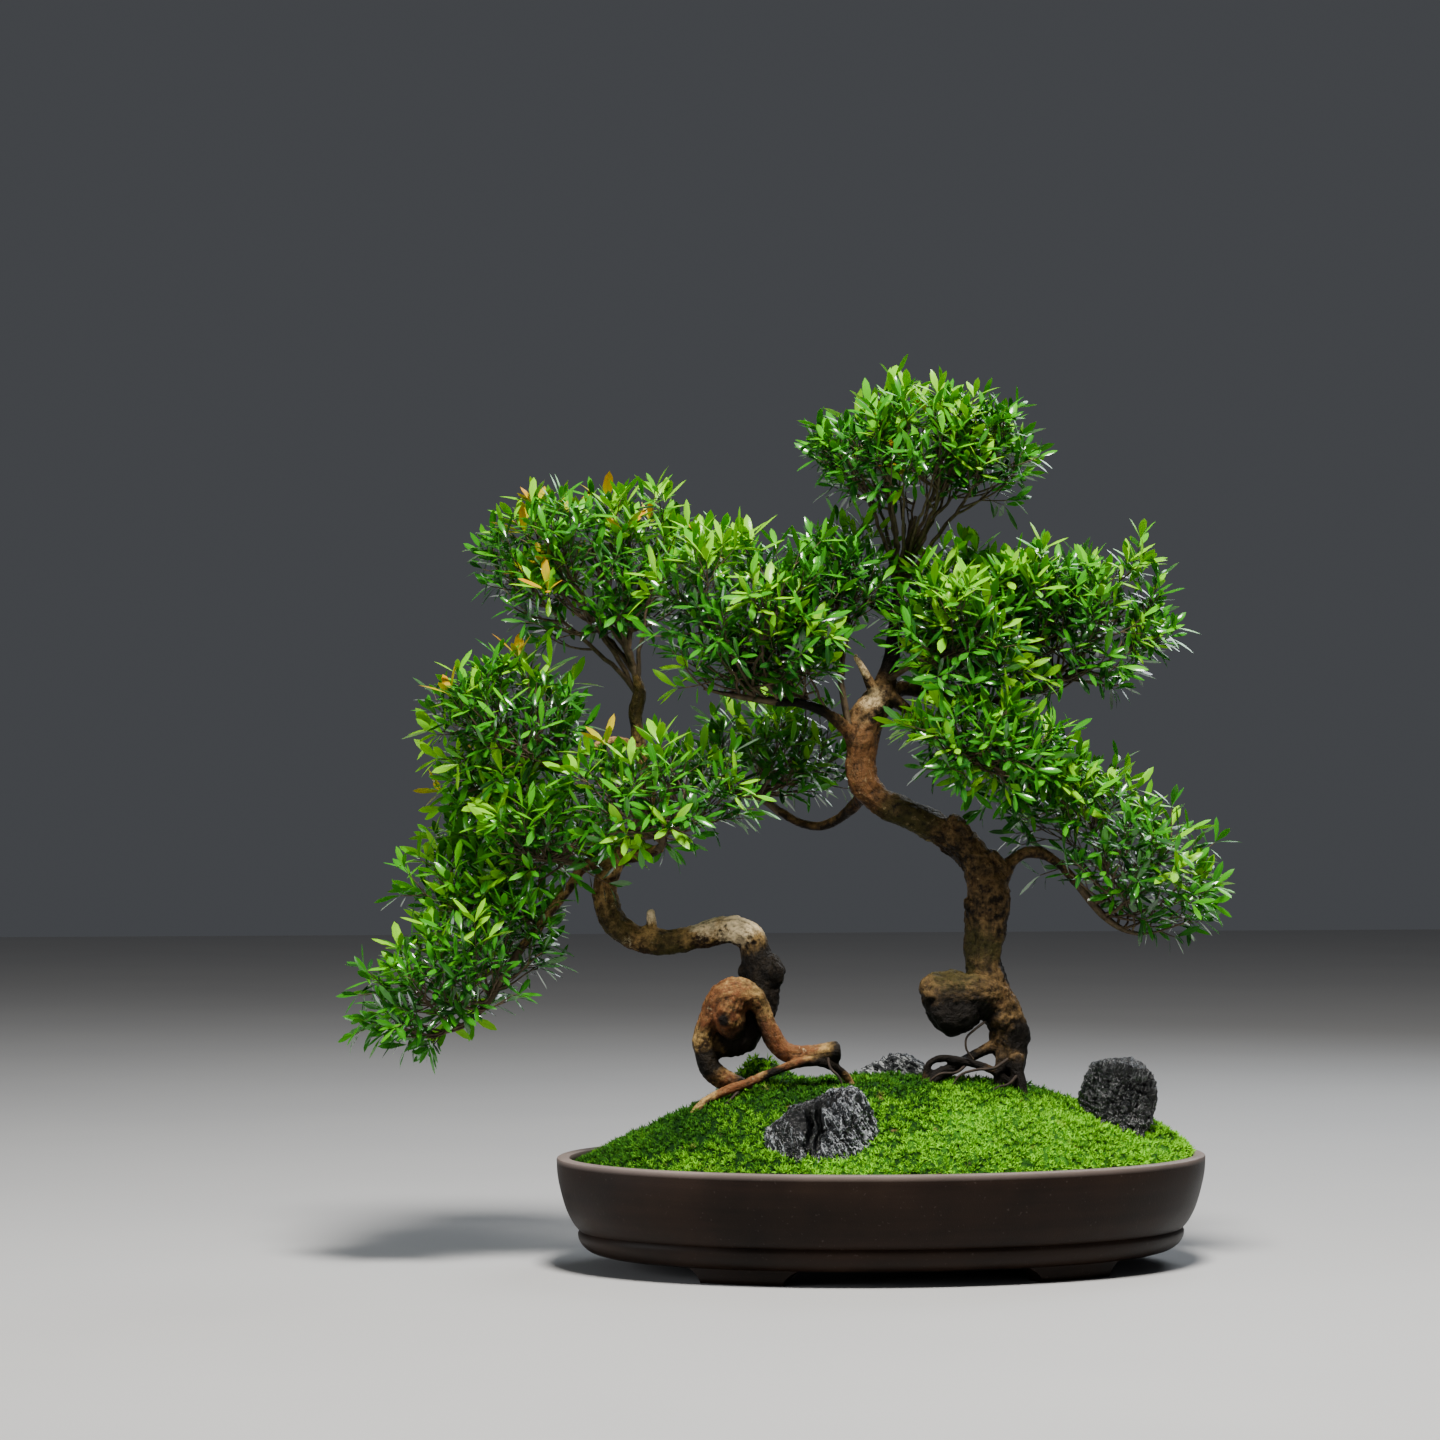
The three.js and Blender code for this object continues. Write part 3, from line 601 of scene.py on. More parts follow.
@dataclass(frozen=True)
class Bark:
    """Bark that runs with the limb: plates and cracks, with bare, rusty and mossy patches; its tops are tan,
    partly as a painted highlight, and its hollows and black patches are painted shade.
    """

    name: str
    deep: Colour
    brown: Colour
    tan: Colour
    bare: Colour = (0.500, 0.370, 0.190)
    rust: Colour = (0.105, 0.045, 0.014)
    olive: Colour = (0.034, 0.031, 0.007)
    black: Colour = (0.003, 0.002, 0.0014)

    def material(self) -> bpy.types.Material:
        """Makes the material.

        Returns:
            The material.
        """
        paint = Paint(self.name, Specular_IOR_Level=0.13)
        grain = paint.layer("grain", "Vector")
        relief = paint.layer("relief")
        at = paint.place()
        long = paint.noise(paint.stretched(grain, (0.12, 0.40, 0.40)), 1.0, 5.0, 0.65)
        blotch = paint.noise(at, 62.0, 4.0, 0.6)
        fleck = paint.noise(at, 420.0, 4.0, 0.7)
        crust = paint.noise(at, 170.0, 5.0, 0.68)
        # partly painted light: faces that look up turn tan; the flecks, crust and blotches are the bark's own
        weathering_and_painted_top_light = (paint.facing_up() * 0.32 + fleck * 0.4 + crust * 1.2 + blotch * 0.4).share(0.82, 1.20)
        colour = paint.mix(weathering_and_painted_top_light, self.brown, self.tan)
        colour = paint.mix(blotch.share(0.50, 0.68) * 0.4, colour, self.rust)
        rough_edge = fleck * 0.45 + blotch * 0.55
        for title, tint in (("rusty", self.rust), ("mossy", self.olive), ("bare", self.bare)):
            patch = (paint.layer(title) + (rough_edge - 0.5) * 3.2).share(0.30, 0.80)
            colour = paint.mix(patch * (0.50 + long * 0.7), colour, tint)
        # painted shade: darker in the bark's hollows and cracks
        colour = paint.mix(relief.share(0.50, 0.38) * 0.80, colour, self.deep)
        colour = paint.mix((long * 0.5 + fleck * 0.5).share(0.47, 0.38) * 0.6, colour, self.deep)
        shadowed = (paint.layer("dark") * 1.3 + (rough_edge - 0.5) * 1.2).share(0.25, 0.75)
        colour = paint.mix(shadowed * 0.98, colour, self.black)
        return paint.finish(colour, 0.42 + fleck * 0.35, long * 0.5 + crust * 0.7 + fleck * 0.4, 0.0026)


@dataclass(frozen=True)
class TwigBark:
    """Thin grey-brown bark of the twigs and the fine roots."""

    name: str
    dark: Colour = (0.045, 0.030, 0.016)
    light: Colour = (0.115, 0.080, 0.042)

    def material(self) -> bpy.types.Material:
        """Makes the material.

        Returns:
            The material.
        """
        paint = Paint(self.name, Specular_IOR_Level=0.3)
        patch = paint.noise(paint.place(), 260.0, 3.0)
        colour = paint.mix(patch.share(0.35, 0.7), self.dark, self.light)
        return paint.finish(colour, 0.75, patch, 0.0003)


@dataclass(frozen=True)
class Foliage:
    """Glossy leaves: deep green when old, yellow-green when young, and bronze at some tips."""

    name: str
    old: Colour = (0.009, 0.060, 0.009)
    grown: Colour = (0.028, 0.225, 0.005)
    fresh: Colour = (0.080, 0.380, 0.000)
    young: Colour = (0.190, 0.500, 0.000)
    bronze: Colour = (0.560, 0.190, 0.001)
    pale: Colour = (0.080, 0.300, 0.020)

    def material(self) -> bpy.types.Material:
        """Makes the material.

        Returns:
            The material.
        """
        coat = {"Coat_Roughness": 0.12, "Coat_IOR": 1.6}
        paint = Paint(self.name, Specular_IOR_Level=0.10, Subsurface_Weight=0.05, **coat)
        paint.glow((0.0012, 0.0025, 0.0006))
        age = paint.layer("age")
        blade = paint.layer("blade", "Vector")
        along, across = paint.part(blade, "X"), paint.part(blade, "Y").size()
        ages = ((0.0, self.old), (0.42, self.grown), (0.72, self.fresh), (0.97, self.young))
        body = paint.ramp(age, ages)
        paint.feed(paint.shader.inputs["Coat Weight"], 1.0 - age.share(0.10, 0.75) * 0.92)
        body = paint.mix(paint.layer("bronze") * (0.45 + along * 0.55), body, self.bronze)
        rib = (1.0 - across.share(0.0, 0.16)) * 0.35
        body = paint.mix(rib, body, self.pale)
        vein = paint.noise(paint.place(), 1400.0, 1.0)
        return paint.finish(body, 0.30 + vein * 0.12, vein * 0.4 + across * 0.3, 0.00015)


@dataclass(frozen=True)
class MossPile:
    """Fine moss, from deep green in its hollows to yellow-green at its tips; the hollows' dark is partly its
    own and partly painted shade, and painted light brightens it at the front, at the back and on a hummock.
    """

    name: str
    deep: Colour = (0.004, 0.022, 0.003)
    green: Colour = (0.036, 0.155, 0.010)
    bright: Colour = (0.235, 0.660, 0.012)
    straw: Colour = (0.280, 0.190, 0.060)

    def material(self) -> bpy.types.Material:
        """Makes the material.

        Returns:
            The material.
        """
        paint = Paint(self.name, Specular_IOR_Level=0.06, Subsurface_Weight=0.1)
        paint.glow((0.0006, 0.0012, 0.0003))
        at = paint.place()
        patch = paint.noise(at, 16.0, 4.0) * 0.55 + paint.noise(at, 120.0, 3.0) * 0.45
        # painted light: the fresh layer brightens the moss; the tip layer darkens the bed and the tufts'
        # roots, partly as painted shade; the shade layer is a random tone for each tuft
        painted_light_and_tone = paint.layer("tip") * 0.38 + paint.layer("shade") * 0.20 + paint.layer("fresh") * 0.36
        tone = patch * 1.5 + painted_light_and_tone - 0.56
        body = paint.ramp(tone, ((0.40, self.deep), (0.70, self.green), (0.98, self.bright)))
        dry = paint.noise(at, 75.0, 3.0).share(0.66, 0.74)
        colour = paint.mix(dry * 0.5, body, self.straw)
        return paint.finish(colour, 0.7, paint.noise(at, 700.0, 3.0), 0.0012)


@dataclass(frozen=True)
class WetRock:
    """Near-black slate with pale veins, glints on its crests as painted highlights, hollows darkened as
    painted shade, and a damp sheen.
    """

    name: str
    hollow: Colour
    face: Colour
    vein_and_highlight: Colour
    slant: float = 0.5  # the turn of its layers about Y
    veined: float = 0.9  # how strong its pale veins are

    def material(self) -> bpy.types.Material:
        """Makes the material.

        Returns:
            The material.
        """
        paint = Paint(self.name, Specular_IOR_Level=0.38)
        at = paint.place()
        crest = paint.layer("crest")
        turned = {"Vector": at, "Angle": self.slant}
        slant = paint.value("ShaderNodeVectorRotate", {"rotation_type": "Y_AXIS"}, turned)
        layers = paint.stretched(slant, (1.0, 1.0, 0.26))
        vein = paint.noise(layers, 210.0, 4.0, 0.58)
        chip = paint.value("ShaderNodeTexVoronoi", {}, {"Vector": layers, "Scale": 330.0})
        fine = paint.noise(at, 900.0, 4.0, 0.7)
        area = paint.noise(at, 62.0, 3.0, 0.6)
        # painted shade: the hollows are darker than the crests
        colour = paint.mix(crest.share(0.35, 0.85), self.hollow, self.face)
        line = 1.0 - (vein - 0.5).size().share(0.006, 0.040)
        streak = line * (area * 1.4 + crest * 0.7 - 0.50).share(0.38, 0.70) * fine.share(0.28, 0.46)
        glint = (crest * 0.6 + fine * 0.8).share(1.02, 1.12)
        colour = paint.mix(streak.larger(glint) * self.veined, colour, self.vein_and_highlight)
        return paint.finish(colour, 0.10 + fine * 0.24, vein * 0.5 + chip * 0.6 + fine * 0.3, 0.0026)


@dataclass(frozen=True)
class Grit:
    """A matt, crumbly or moulded finish for what is hardly seen."""

    name: str
    dark: Colour
    light: Colour
    grain: float
    depth: float

    def material(self) -> bpy.types.Material:
        """Makes the material.

        Returns:
            The material.
        """
        paint = Paint(self.name, Specular_IOR_Level=0.25)
        crumb = paint.noise(paint.place(), self.grain, 4.0, 0.7)
        return paint.finish(paint.mix(crumb.share(0.35, 0.7), self.dark, self.light), 0.85, crumb, self.depth)


# The pot and what fills it


@dataclass(frozen=True)
class Oval:
    """The family of rings that the pot's plan is made of."""

    half_length: float
    half_width: float
    shoulder: float = 60.0  # how far in the rings keep their distance from the outline

    def at(self, inset: float, turn: float, height: float) -> Vector:
        """A point on one of the rings.

        Args:
            inset: How far the ring lies inside the outline.
            turn: Where on the ring, in radians.
            height: The ring's height.

        Returns:
            The point.
        """
        ring = max(self.half_length - inset, 0.0)
        narrower = self.half_length - self.half_width
        limit = self.half_length - self.shoulder
        width = ring - narrower if ring > limit else ring * (limit - narrower) / limit
        return Vector((ring * math.cos(turn), width * math.sin(turn), height))

    def ring(self, inset: float, height: float, sides: int) -> list[Vector]:
        """The points of one ring."""
        return [self.at(inset, 2.0 * math.pi * i / sides, height) for i in range(sides)]


def loft(shape: Shape, rings: Sequence[Sequence[Vector]]) -> None:
    """Adds a closed skin over rings that have the same number of points.

    Args:
        shape: What the skin is added to.
        rings: The rings, each turning the same way; the first and the last are capped.
    """
    start, sides = len(shape.points), len(rings[0])
    shape.points.extend(point for ring in rings for point in ring)
    for i in range(len(rings) - 1):
        for j in range(sides):
            a, b = start + i * sides + j, start + i * sides + (j + 1) % sides
            shape.faces.append((a, b, b + sides, a + sides))
    last = start + (len(rings) - 1) * sides
    shape.faces.append(tuple(range(start + sides - 1, start - 1, -1)))
    shape.faces.append(tuple(range(last, last + sides)))


@dataclass(frozen=True)
class ClayPot:
    """An oval bowl with a plain lip, a groove over its base band, four low feet and two drain holes."""

    oval: Oval
    sides: int = 148
    outline_step: float = 2.2
    unevenness: float = 0.0016  # how far the wall wavers, to its size
    crease: float = 38.0  # degrees, past which an edge is sharp
    drain_radius: float = 11.0
    drain_offset: float = 85.0
    drain_sides: int = 40
    drill_height: float = 30.0
    foot_height: float = 10.0
    foot_sunk: float = 4.0  # how deep a foot reaches into the base
    foot_inset: float = 30.0
    foot_thick: float = 15.0
    foot_round: float = 1.2  # how far its lower edges are rounded off
    foot_reach: float = 9.5  # degrees either side of its middle, at its underside
    foot_flare: float = 6.0  # degrees that its top adds to them
    foot_steps: int = 8
    foot_turns: tuple[float, ...] = (54.0, 126.0, 234.0, 306.0)
    # Stretches of the wall's outline, each drawn as one smooth curve
    band: Outline = ((31.0, 10.0), (23.0, 12.5), (18.0, 16.5), (15.4, 21.0), (15.0, 24.5))
    belly: Outline = ((16.2, 26.6), (13.0, 30.0), (7.4, 40.0), (3.0, 54.0), (0.6, 66.0), (0.0, 76.2))
    lip: Outline = ((0.4, 77.3), (1.6, 78.0), (7.6, 78.0), (8.7, 77.4), (9.0, 76.4))
    inside: Outline = ((9.0, 62.0), (17.0, 40.0), (29.0, 24.0), (43.0, 17.0), (60.0, 17.0))

    def build(self, finish: bpy.types.Material, place: Matrix) -> bpy.types.Object:
        """Makes the pot.

        Args:
            finish: Its material.
            place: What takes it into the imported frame.

        Returns:
            The finished piece.
        """
        bowl = Shape()
        loft(bowl, [self._ring(inset, height) for inset, height in self._outline()])
        for around in self.foot_turns:
            self._foot(bowl, math.radians(around))
        pot = bowl.build("clay_pot_raw")
        drills = [self._drill(side) for side in (-1.0, 1.0)]
        for drill in drills:
            cut = pot.modifiers.new("drain", "BOOLEAN")
            cut.operation, cut.object, cut.use_self = "DIFFERENCE", drill, True
        piece = settle(pot, "clay_pot", place)
        for drill in drills:
            bpy.data.objects.remove(drill)
        piece.data.materials.clear()
        piece.data.materials.append(finish)
        piece.data.set_sharp_from_angle(angle=math.radians(self.crease))
        return register(piece, "clay", "pot")

    def _outline(self) -> list[tuple[float, float]]:
        """The wall's outline from under the base, over the lip, to the floor inside.

        Returns:
            Its pairs of inset and height.
        """
        found = []
        for stretch in (self.band, self.belly, self.lip, self.inside):
            line = smooth_line([(inset, 0.0, height, 0.0) for inset, height in stretch], self.outline_step)
            found.extend((point.x, point.z) for point, _ in line)
        return found

    def _ring(self, inset: float, height: float) -> list[Vector]:
        """One ring of the wall, a little uneven, as a hand-finished wall is."""
        ring = self.oval.ring(inset, height, self.sides)
        return [point * (1.0 - self.unevenness * (0.5 + 0.5 * noise.noise(point * 0.02))) for point in ring]

    def _foot(self, shape: Shape, around: float) -> None:
        """Adds one foot, whose ends sweep up in a hollow curve.

        Args:
            shape: What the foot is added to.
            around: Where it stands, as a turn about the pot's middle.
        """
        rings, steps = [], self.foot_steps
        for i in range(steps + 1):
            rise = i / steps
            reach = math.radians(self.foot_reach + self.foot_flare * rise**2.2)
            height = rise * (self.foot_height + self.foot_sunk)
            worn = self.foot_round * (1.0 - min(rise * 5.0, 1.0)) ** 2
            outer = [(-1.0 + j / steps, worn) for j in range(2 * steps + 1)]
            inner = [(1.0 - j / steps, self.foot_thick - worn) for j in range(2 * steps + 1)]
            corners = []
            for along, depth in outer + inner:
                corners.append(self.oval.at(self.foot_inset + depth, around + reach * along, height))
            rings.append(corners)
        loft(shape, rings)

    def _drill(self, side: float) -> bpy.types.Object:
        """The round cutter of one drain hole.

        Args:
            side: -1 for the hole on the left, 1 for the one on the right.

        Returns:
            The cutter.
        """
        middle, radius = side * self.drain_offset, self.drain_radius
        circle = []
        for i in range(self.drain_sides):
            turn = 2.0 * math.pi * i / self.drain_sides
            circle.append((middle + radius * math.cos(turn), radius * math.sin(turn)))
        rings = [[Vector((*at, height)) for at in circle] for height in (0.0, self.drill_height)]
        shape = Shape()
        loft(shape, rings)
        return shape.build("drain_drill")


@dataclass(frozen=True)
class Hummock:
    """A local rise of the moss, in the pot's own frame."""

    x: float
    y: float
    rise: float
    reach: float
    painted_brightening: float = 0.0  # how far painted light brightens its moss

    def share(self, x: float, y: float) -> float:
        """How much of its rise a place has, from 0 to 1."""
        return math.exp(-((x - self.x) ** 2 + (y - self.y) ** 2) / self.reach**2)


@dataclass(frozen=True)
class MossMound:
    """The mound: a bed of moss with fine tufts all over it."""

    oval: Oval
    wall: float = 9.3
    foot: float = 76.5
    rise: float = 55.0
    thick: float = 5.0
    rings: int = 40
    sides: int = 150
    low_end: float = 7.0  # how far the moss lies under the lip at the left end
    cushion: float = 3.2
    tufts_per_area: tuple[float, float] = (0.118, 0.078)  # a square millimetre, in front and at the back
    leaflets: int = 6  # in one tuft
    leaflet: tuple[float, float, float] = (4.4, 1.9, 0.52)  # its length, where it is widest, half its width
    lift: tuple[float, float] = (3.2, -1.9)  # the spread of the tufts' heights, and the lowest
    tuft_size: tuple[float, float] = (0.55, 1.25)
    hummocks: tuple[Hummock, ...] = ()

    def surface(self, share: float, turn: float) -> Vector:
        """A point of the moss at a share of the way from the middle to the wall."""
        spot = self.oval.at(self.oval.half_length - (self.oval.half_length - self.wall) * share, turn, 0.0)
        return Vector((spot.x, spot.y, self.height(spot.x, spot.y)))

    def height(self, x: float, y: float) -> float:
        """The moss's height over what the pot stands on.

        Args:
            x: Place along the pot.
            y: Place across the pot.

        Returns:
            The height.
        """
        length, width = self.oval.half_length - self.wall, self.oval.half_width - self.wall
        share = min(math.hypot(x / length, y / width), 1.0)
        level = self.foot + self.rise * (1.0 - share * share) ** (1.05 - 0.25 * math.tanh(x / 80.0))
        low = self.low_end * max(0.0, -x / length - 0.80) / 0.2
        soft = noise.noise(Vector((x, y, 0.0)) * 0.055) + 0.60 * noise.noise(Vector((x, y, 40.0)) * 0.15)
        bumps = sum(h.rise * h.share(x, y) for h in self.hummocks)
        return level - low + bumps + self.cushion * soft * (1.0 - 0.6 * share)

    def build(self, finish: bpy.types.Material, place: Matrix) -> None:
        """Makes the bed and the tufts.

        Args:
            finish: The moss's material.
            place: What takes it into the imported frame.
        """
        bed = self._bed()
        tuft = self._tuft()
        recipe = self._tuft_recipe()
        for name, side, density in zip(("front", "back"), (-1.0, 1.0), self.tufts_per_area):
            values = {"Tuft": tuft, "Side": side, "Density": density, "Finish": finish}
            copy = add_object(f"moss_{name}_raw", bed.data.copy())
            recipe.add_to(copy, values)
            register(settle(copy, f"moss_tufts_{name}", place), "moss")
        bpy.data.objects.remove(tuft)
        bed.data.materials.append(finish)
        register(settle(bed, "moss_bed", place), "moss", "moss")

    def _bed(self) -> bpy.types.Object:
        """The bed that the tufts stand on, as a closed skin.

        Returns:
            The bed, with how far painted light brightens its moss at each point.
        """
        shape = Shape()
        turns = [2.0 * math.pi * j / self.sides for j in range(self.sides)]
        shares = [(i + 0.5) / (self.rings + 0.5) for i in range(self.rings + 1)]
        top = [[self.surface(share, turn) for turn in turns] for share in shares]
        under = [[point - UP * self.thick for point in ring] for ring in top]
        loft(shape, [*under, *reversed(top)])
        shape.layers["tip"] = [0.0] * len(shape.points)
        # painted light: the fresh layer brightens the moss at the front, the back and some hummocks
        shape.layers["fresh"] = [self._painted_brightness(point) for point in shape.points]
        return shape.build("moss_bed_raw")

    def _painted_brightness(self, spot: Vector) -> float:
        """How far painted light brightens the moss at a place: most at the front, less at the back and on
        some hummocks.

        Args:
            spot: The place.

        Returns:
            The brightening, from 0 to 1, or past 1 on a hummock brightened most.
        """
        front = clamp((-spot.y - 38.0 + 0.30 * max(spot.x, 0.0)) / 62.0)
        front *= 0.35 + 0.65 * clamp((spot.x + 150.0) / 130.0)
        back = 0.45 * clamp((spot.y - 48.0) / 50.0)
        return max(front, back, *(h.painted_brightening * h.share(spot.x, spot.y) for h in self.hummocks))

    def _tuft(self) -> bpy.types.Object:
        """One tuft: small folded leaflets that spread from a point.

        Returns:
            The tuft, with how near its points are to a tip.
        """
        shape = Shape()
        long, widest, half = self.leaflet
        for i in range(self.leaflets):
            turn, spread = i * GOLDEN_TURN, 0.35 + 0.55 * (i % 3) / 2.0
            level = math.sin(spread)
            out = Vector((math.cos(turn) * level, math.sin(turn) * level, math.cos(spread)))
            across = side_of(out, Vector((-math.sin(turn), math.cos(turn), 0.0)))
            fold = out.cross(across) * 0.25
            root = Vector((0.0, 0.0, -0.8)) + out * 0.2 * (i % 2)
            middle = root + out * widest
            start = len(shape.points)
            sides = [middle + across * half + fold, middle - across * half + fold]
            shape.points += [root, root + out * long, *sides]
            for corners in ((0, 2, 1), (0, 1, 3), (0, 3, 2), (1, 2, 3)):
                shape.faces.append(tuple(start + k for k in corners))
            for tip in (0.1, 1.0, 0.6, 0.6):
                shape.note(tip=tip)
        return shape.build("moss_tuft", smooth=False)

    def _tuft_recipe(self) -> Recipe:
        """The tree that scatters tufts over the upper side of one half of the bed.

        Returns:
            The tree. Its Side is -1 for the front half and 1 for the back.
        """
        inputs = {"Tuft": "Object", "Side": "Float", "Density": "Float", "Finish": "Material"}
        recipe = Recipe("scatter_tufts", inputs)
        upward = recipe.part(recipe.value("GeometryNodeInputNormal"), "Z")
        across = recipe.part(recipe.value("GeometryNodeInputPosition"), "Y")
        sockets = {
            "Mesh": recipe.given("Geometry"),
            "Selection": upward.above(0.1) * (across * recipe.given("Side")).above(0.0),
            "Density": recipe.given("Density"),
            "Seed": 7,
        }
        scatter = recipe.node("GeometryNodeDistributePointsOnFaces", {"distribute_method": "RANDOM"}, sockets)
        shade = recipe.value("FunctionNodeRandomValue", {"data_type": "FLOAT"}, {"Seed": 3}, 1)
        spread, lowest = self.lift
        points = recipe.store(scatter.outputs["Points"], "shade", shade)
        points = recipe.moved(points, recipe.scaled((0.0, 0.0, 1.0), shade * spread + lowest))
        bend = {0: (-0.6, -0.6, 0.0), 1: (0.6, 0.6, 6.283)}
        spin = recipe.value("FunctionNodeRandomValue", {"data_type": "FLOAT_VECTOR"}, bend)
        spin = recipe.value("FunctionNodeEulerToRotation", {}, {0: spin})
        sockets = {0: scatter.outputs["Rotation"], 1: spin}
        turned = recipe.value("FunctionNodeRotateRotation", {"rotation_space": "LOCAL"}, sockets)
        small, large = self.tuft_size
        size = recipe.value("FunctionNodeRandomValue", {"data_type": "FLOAT"}, {2: small, 3: large}, 1)
        recipe.plant(points, "Tuft", turned, size)
        return recipe


@dataclass(frozen=True)
class Cleft:
    """An upright split in a stone's front."""

    x: float
    width: float
    depth: float
    low: float
    high: float

    def depth_at(self, spot: Vector) -> float:
        """How deep the split is at a place.

        Args:
            spot: The place, in the planting's frame.

        Returns:
            The depth.
        """
        across = (spot.x - self.x - 1.2 * math.sin(spot.z * 0.25)) / self.width
        ends = clamp((spot.z - self.low) / 5.0) * clamp((self.high - spot.z) / 5.0)
        return self.depth * ends * math.exp(-(across**8))


@dataclass(frozen=True)
class Rock:
    """A broken stone between its flats, ribbed and pitted."""

    node: str
    at: Point
    flats: tuple[tuple[float, float, float, float], ...]
    finish: WetRock
    grain: Point = (0.085, 0.085, 0.030)  # how fast the ribs change along each axis
    depth: float = 9.0
    rough_side: Point = (0.0, 0.0, 0.0)  # the side that is broken most
    clefts: tuple[Cleft, ...] = ()
    ledges: float = 1.6  # how far the layers step out
    ledge_from: float = -1000.0  # where along x they begin
    seed: float = 0.0
    crispness: int = 26  # how sharply the flats meet
    splits: int = 6

    def build(self, place: Matrix) -> bpy.types.Object:
        """Makes the stone.

        Args:
            place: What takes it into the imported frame.

        Returns:
            The finished piece.
        """
        crests: list[float] = []
        bpy.ops.mesh.primitive_ico_sphere_add(subdivisions=self.splits, radius=1.0)
        raw = bpy.context.object
        for vertex in raw.data.vertices:
            spot, crest = self._carved(vertex.co.normalized())
            vertex.co = Vector(self.at) + spot
            crests.append(crest)
        add_layer(raw.data, "crest", np.array(crests))
        raw.data.shade_flat()
        raw.data.materials.append(self.finish.material())
        return register(settle(raw, f"rock_{self.node}", place), "stone", self.node)

    def _carved(self, out: Vector) -> tuple[Vector, float]:
        """The stone's surface in a direction.

        Args:
            out: The direction.

        Returns:
            The point from the stone's centre, and how far it stands on a crest, from 0 to 1.
        """
        slopes = [max(out.dot(Vector(flat[:3]).normalized()), 0.0) / flat[3] for flat in self.flats]
        reach = sum(slope**self.crispness for slope in slopes) ** (-1.0 / self.crispness)
        spot = out * reach
        at = Vector(spot[k] * self.grain[k] for k in range(3)) + Vector((self.seed, 0.0, 0.0))
        at += noise.noise_vector(at * 1.3) * 0.3
        steps = 0.0
        for size, share in ((1.1, 0.50), (2.3, 0.30), (5.2, 0.20)):
            spread, cells = noise.voronoi(at * size)
            block = noise.noise(cells[0] * 5.3) * 0.5 + 0.5
            edge = min((spread[1] - spread[0]) * 5.0, 1.0)
            steps += share * (block * 0.75 + 0.25) * (0.55 + 0.45 * edge)
        pits = noise.noise(at * 11.0) + 1.4 * noise.noise(at * 5.0)
        side = 0.5 + 0.8 * max(out.dot(Vector(self.rough_side)), 0.0) if any(self.rough_side) else 0.85
        layer = (spot.z * 0.21 + spot.x * 0.07 + 0.9 * noise.noise(at * 2.4)) % 1.0
        begun = clamp((self.at[0] + spot.x - self.ledge_from) / 6.0)
        sunk = self.depth * side * (0.8 - steps) + 0.45 * pits + self.ledges * begun * (0.5 - layer)
        for cleft in self.clefts:
            sunk += cleft.depth_at(Vector(self.at) + spot)
        # The crest sets the finish's painted shade in the hollows and its glints; it is lower where the
        # ledges have not begun, so the front stone's left end is darker as painted shade.
        crest = 1.2 * steps - 0.25 * pits - 0.10 * sunk + 0.25
        crest = clamp(crest + 0.3 * begun * (layer - 0.6) - 0.30 * (1.0 - begun))
        return spot - out * sunk, crest


# The trees


@dataclass(frozen=True)
class Knot:
    """A scar where a branch was cut: a healed rim round a hollow."""

    at: Point
    reach: float
    depth: float = 0.9


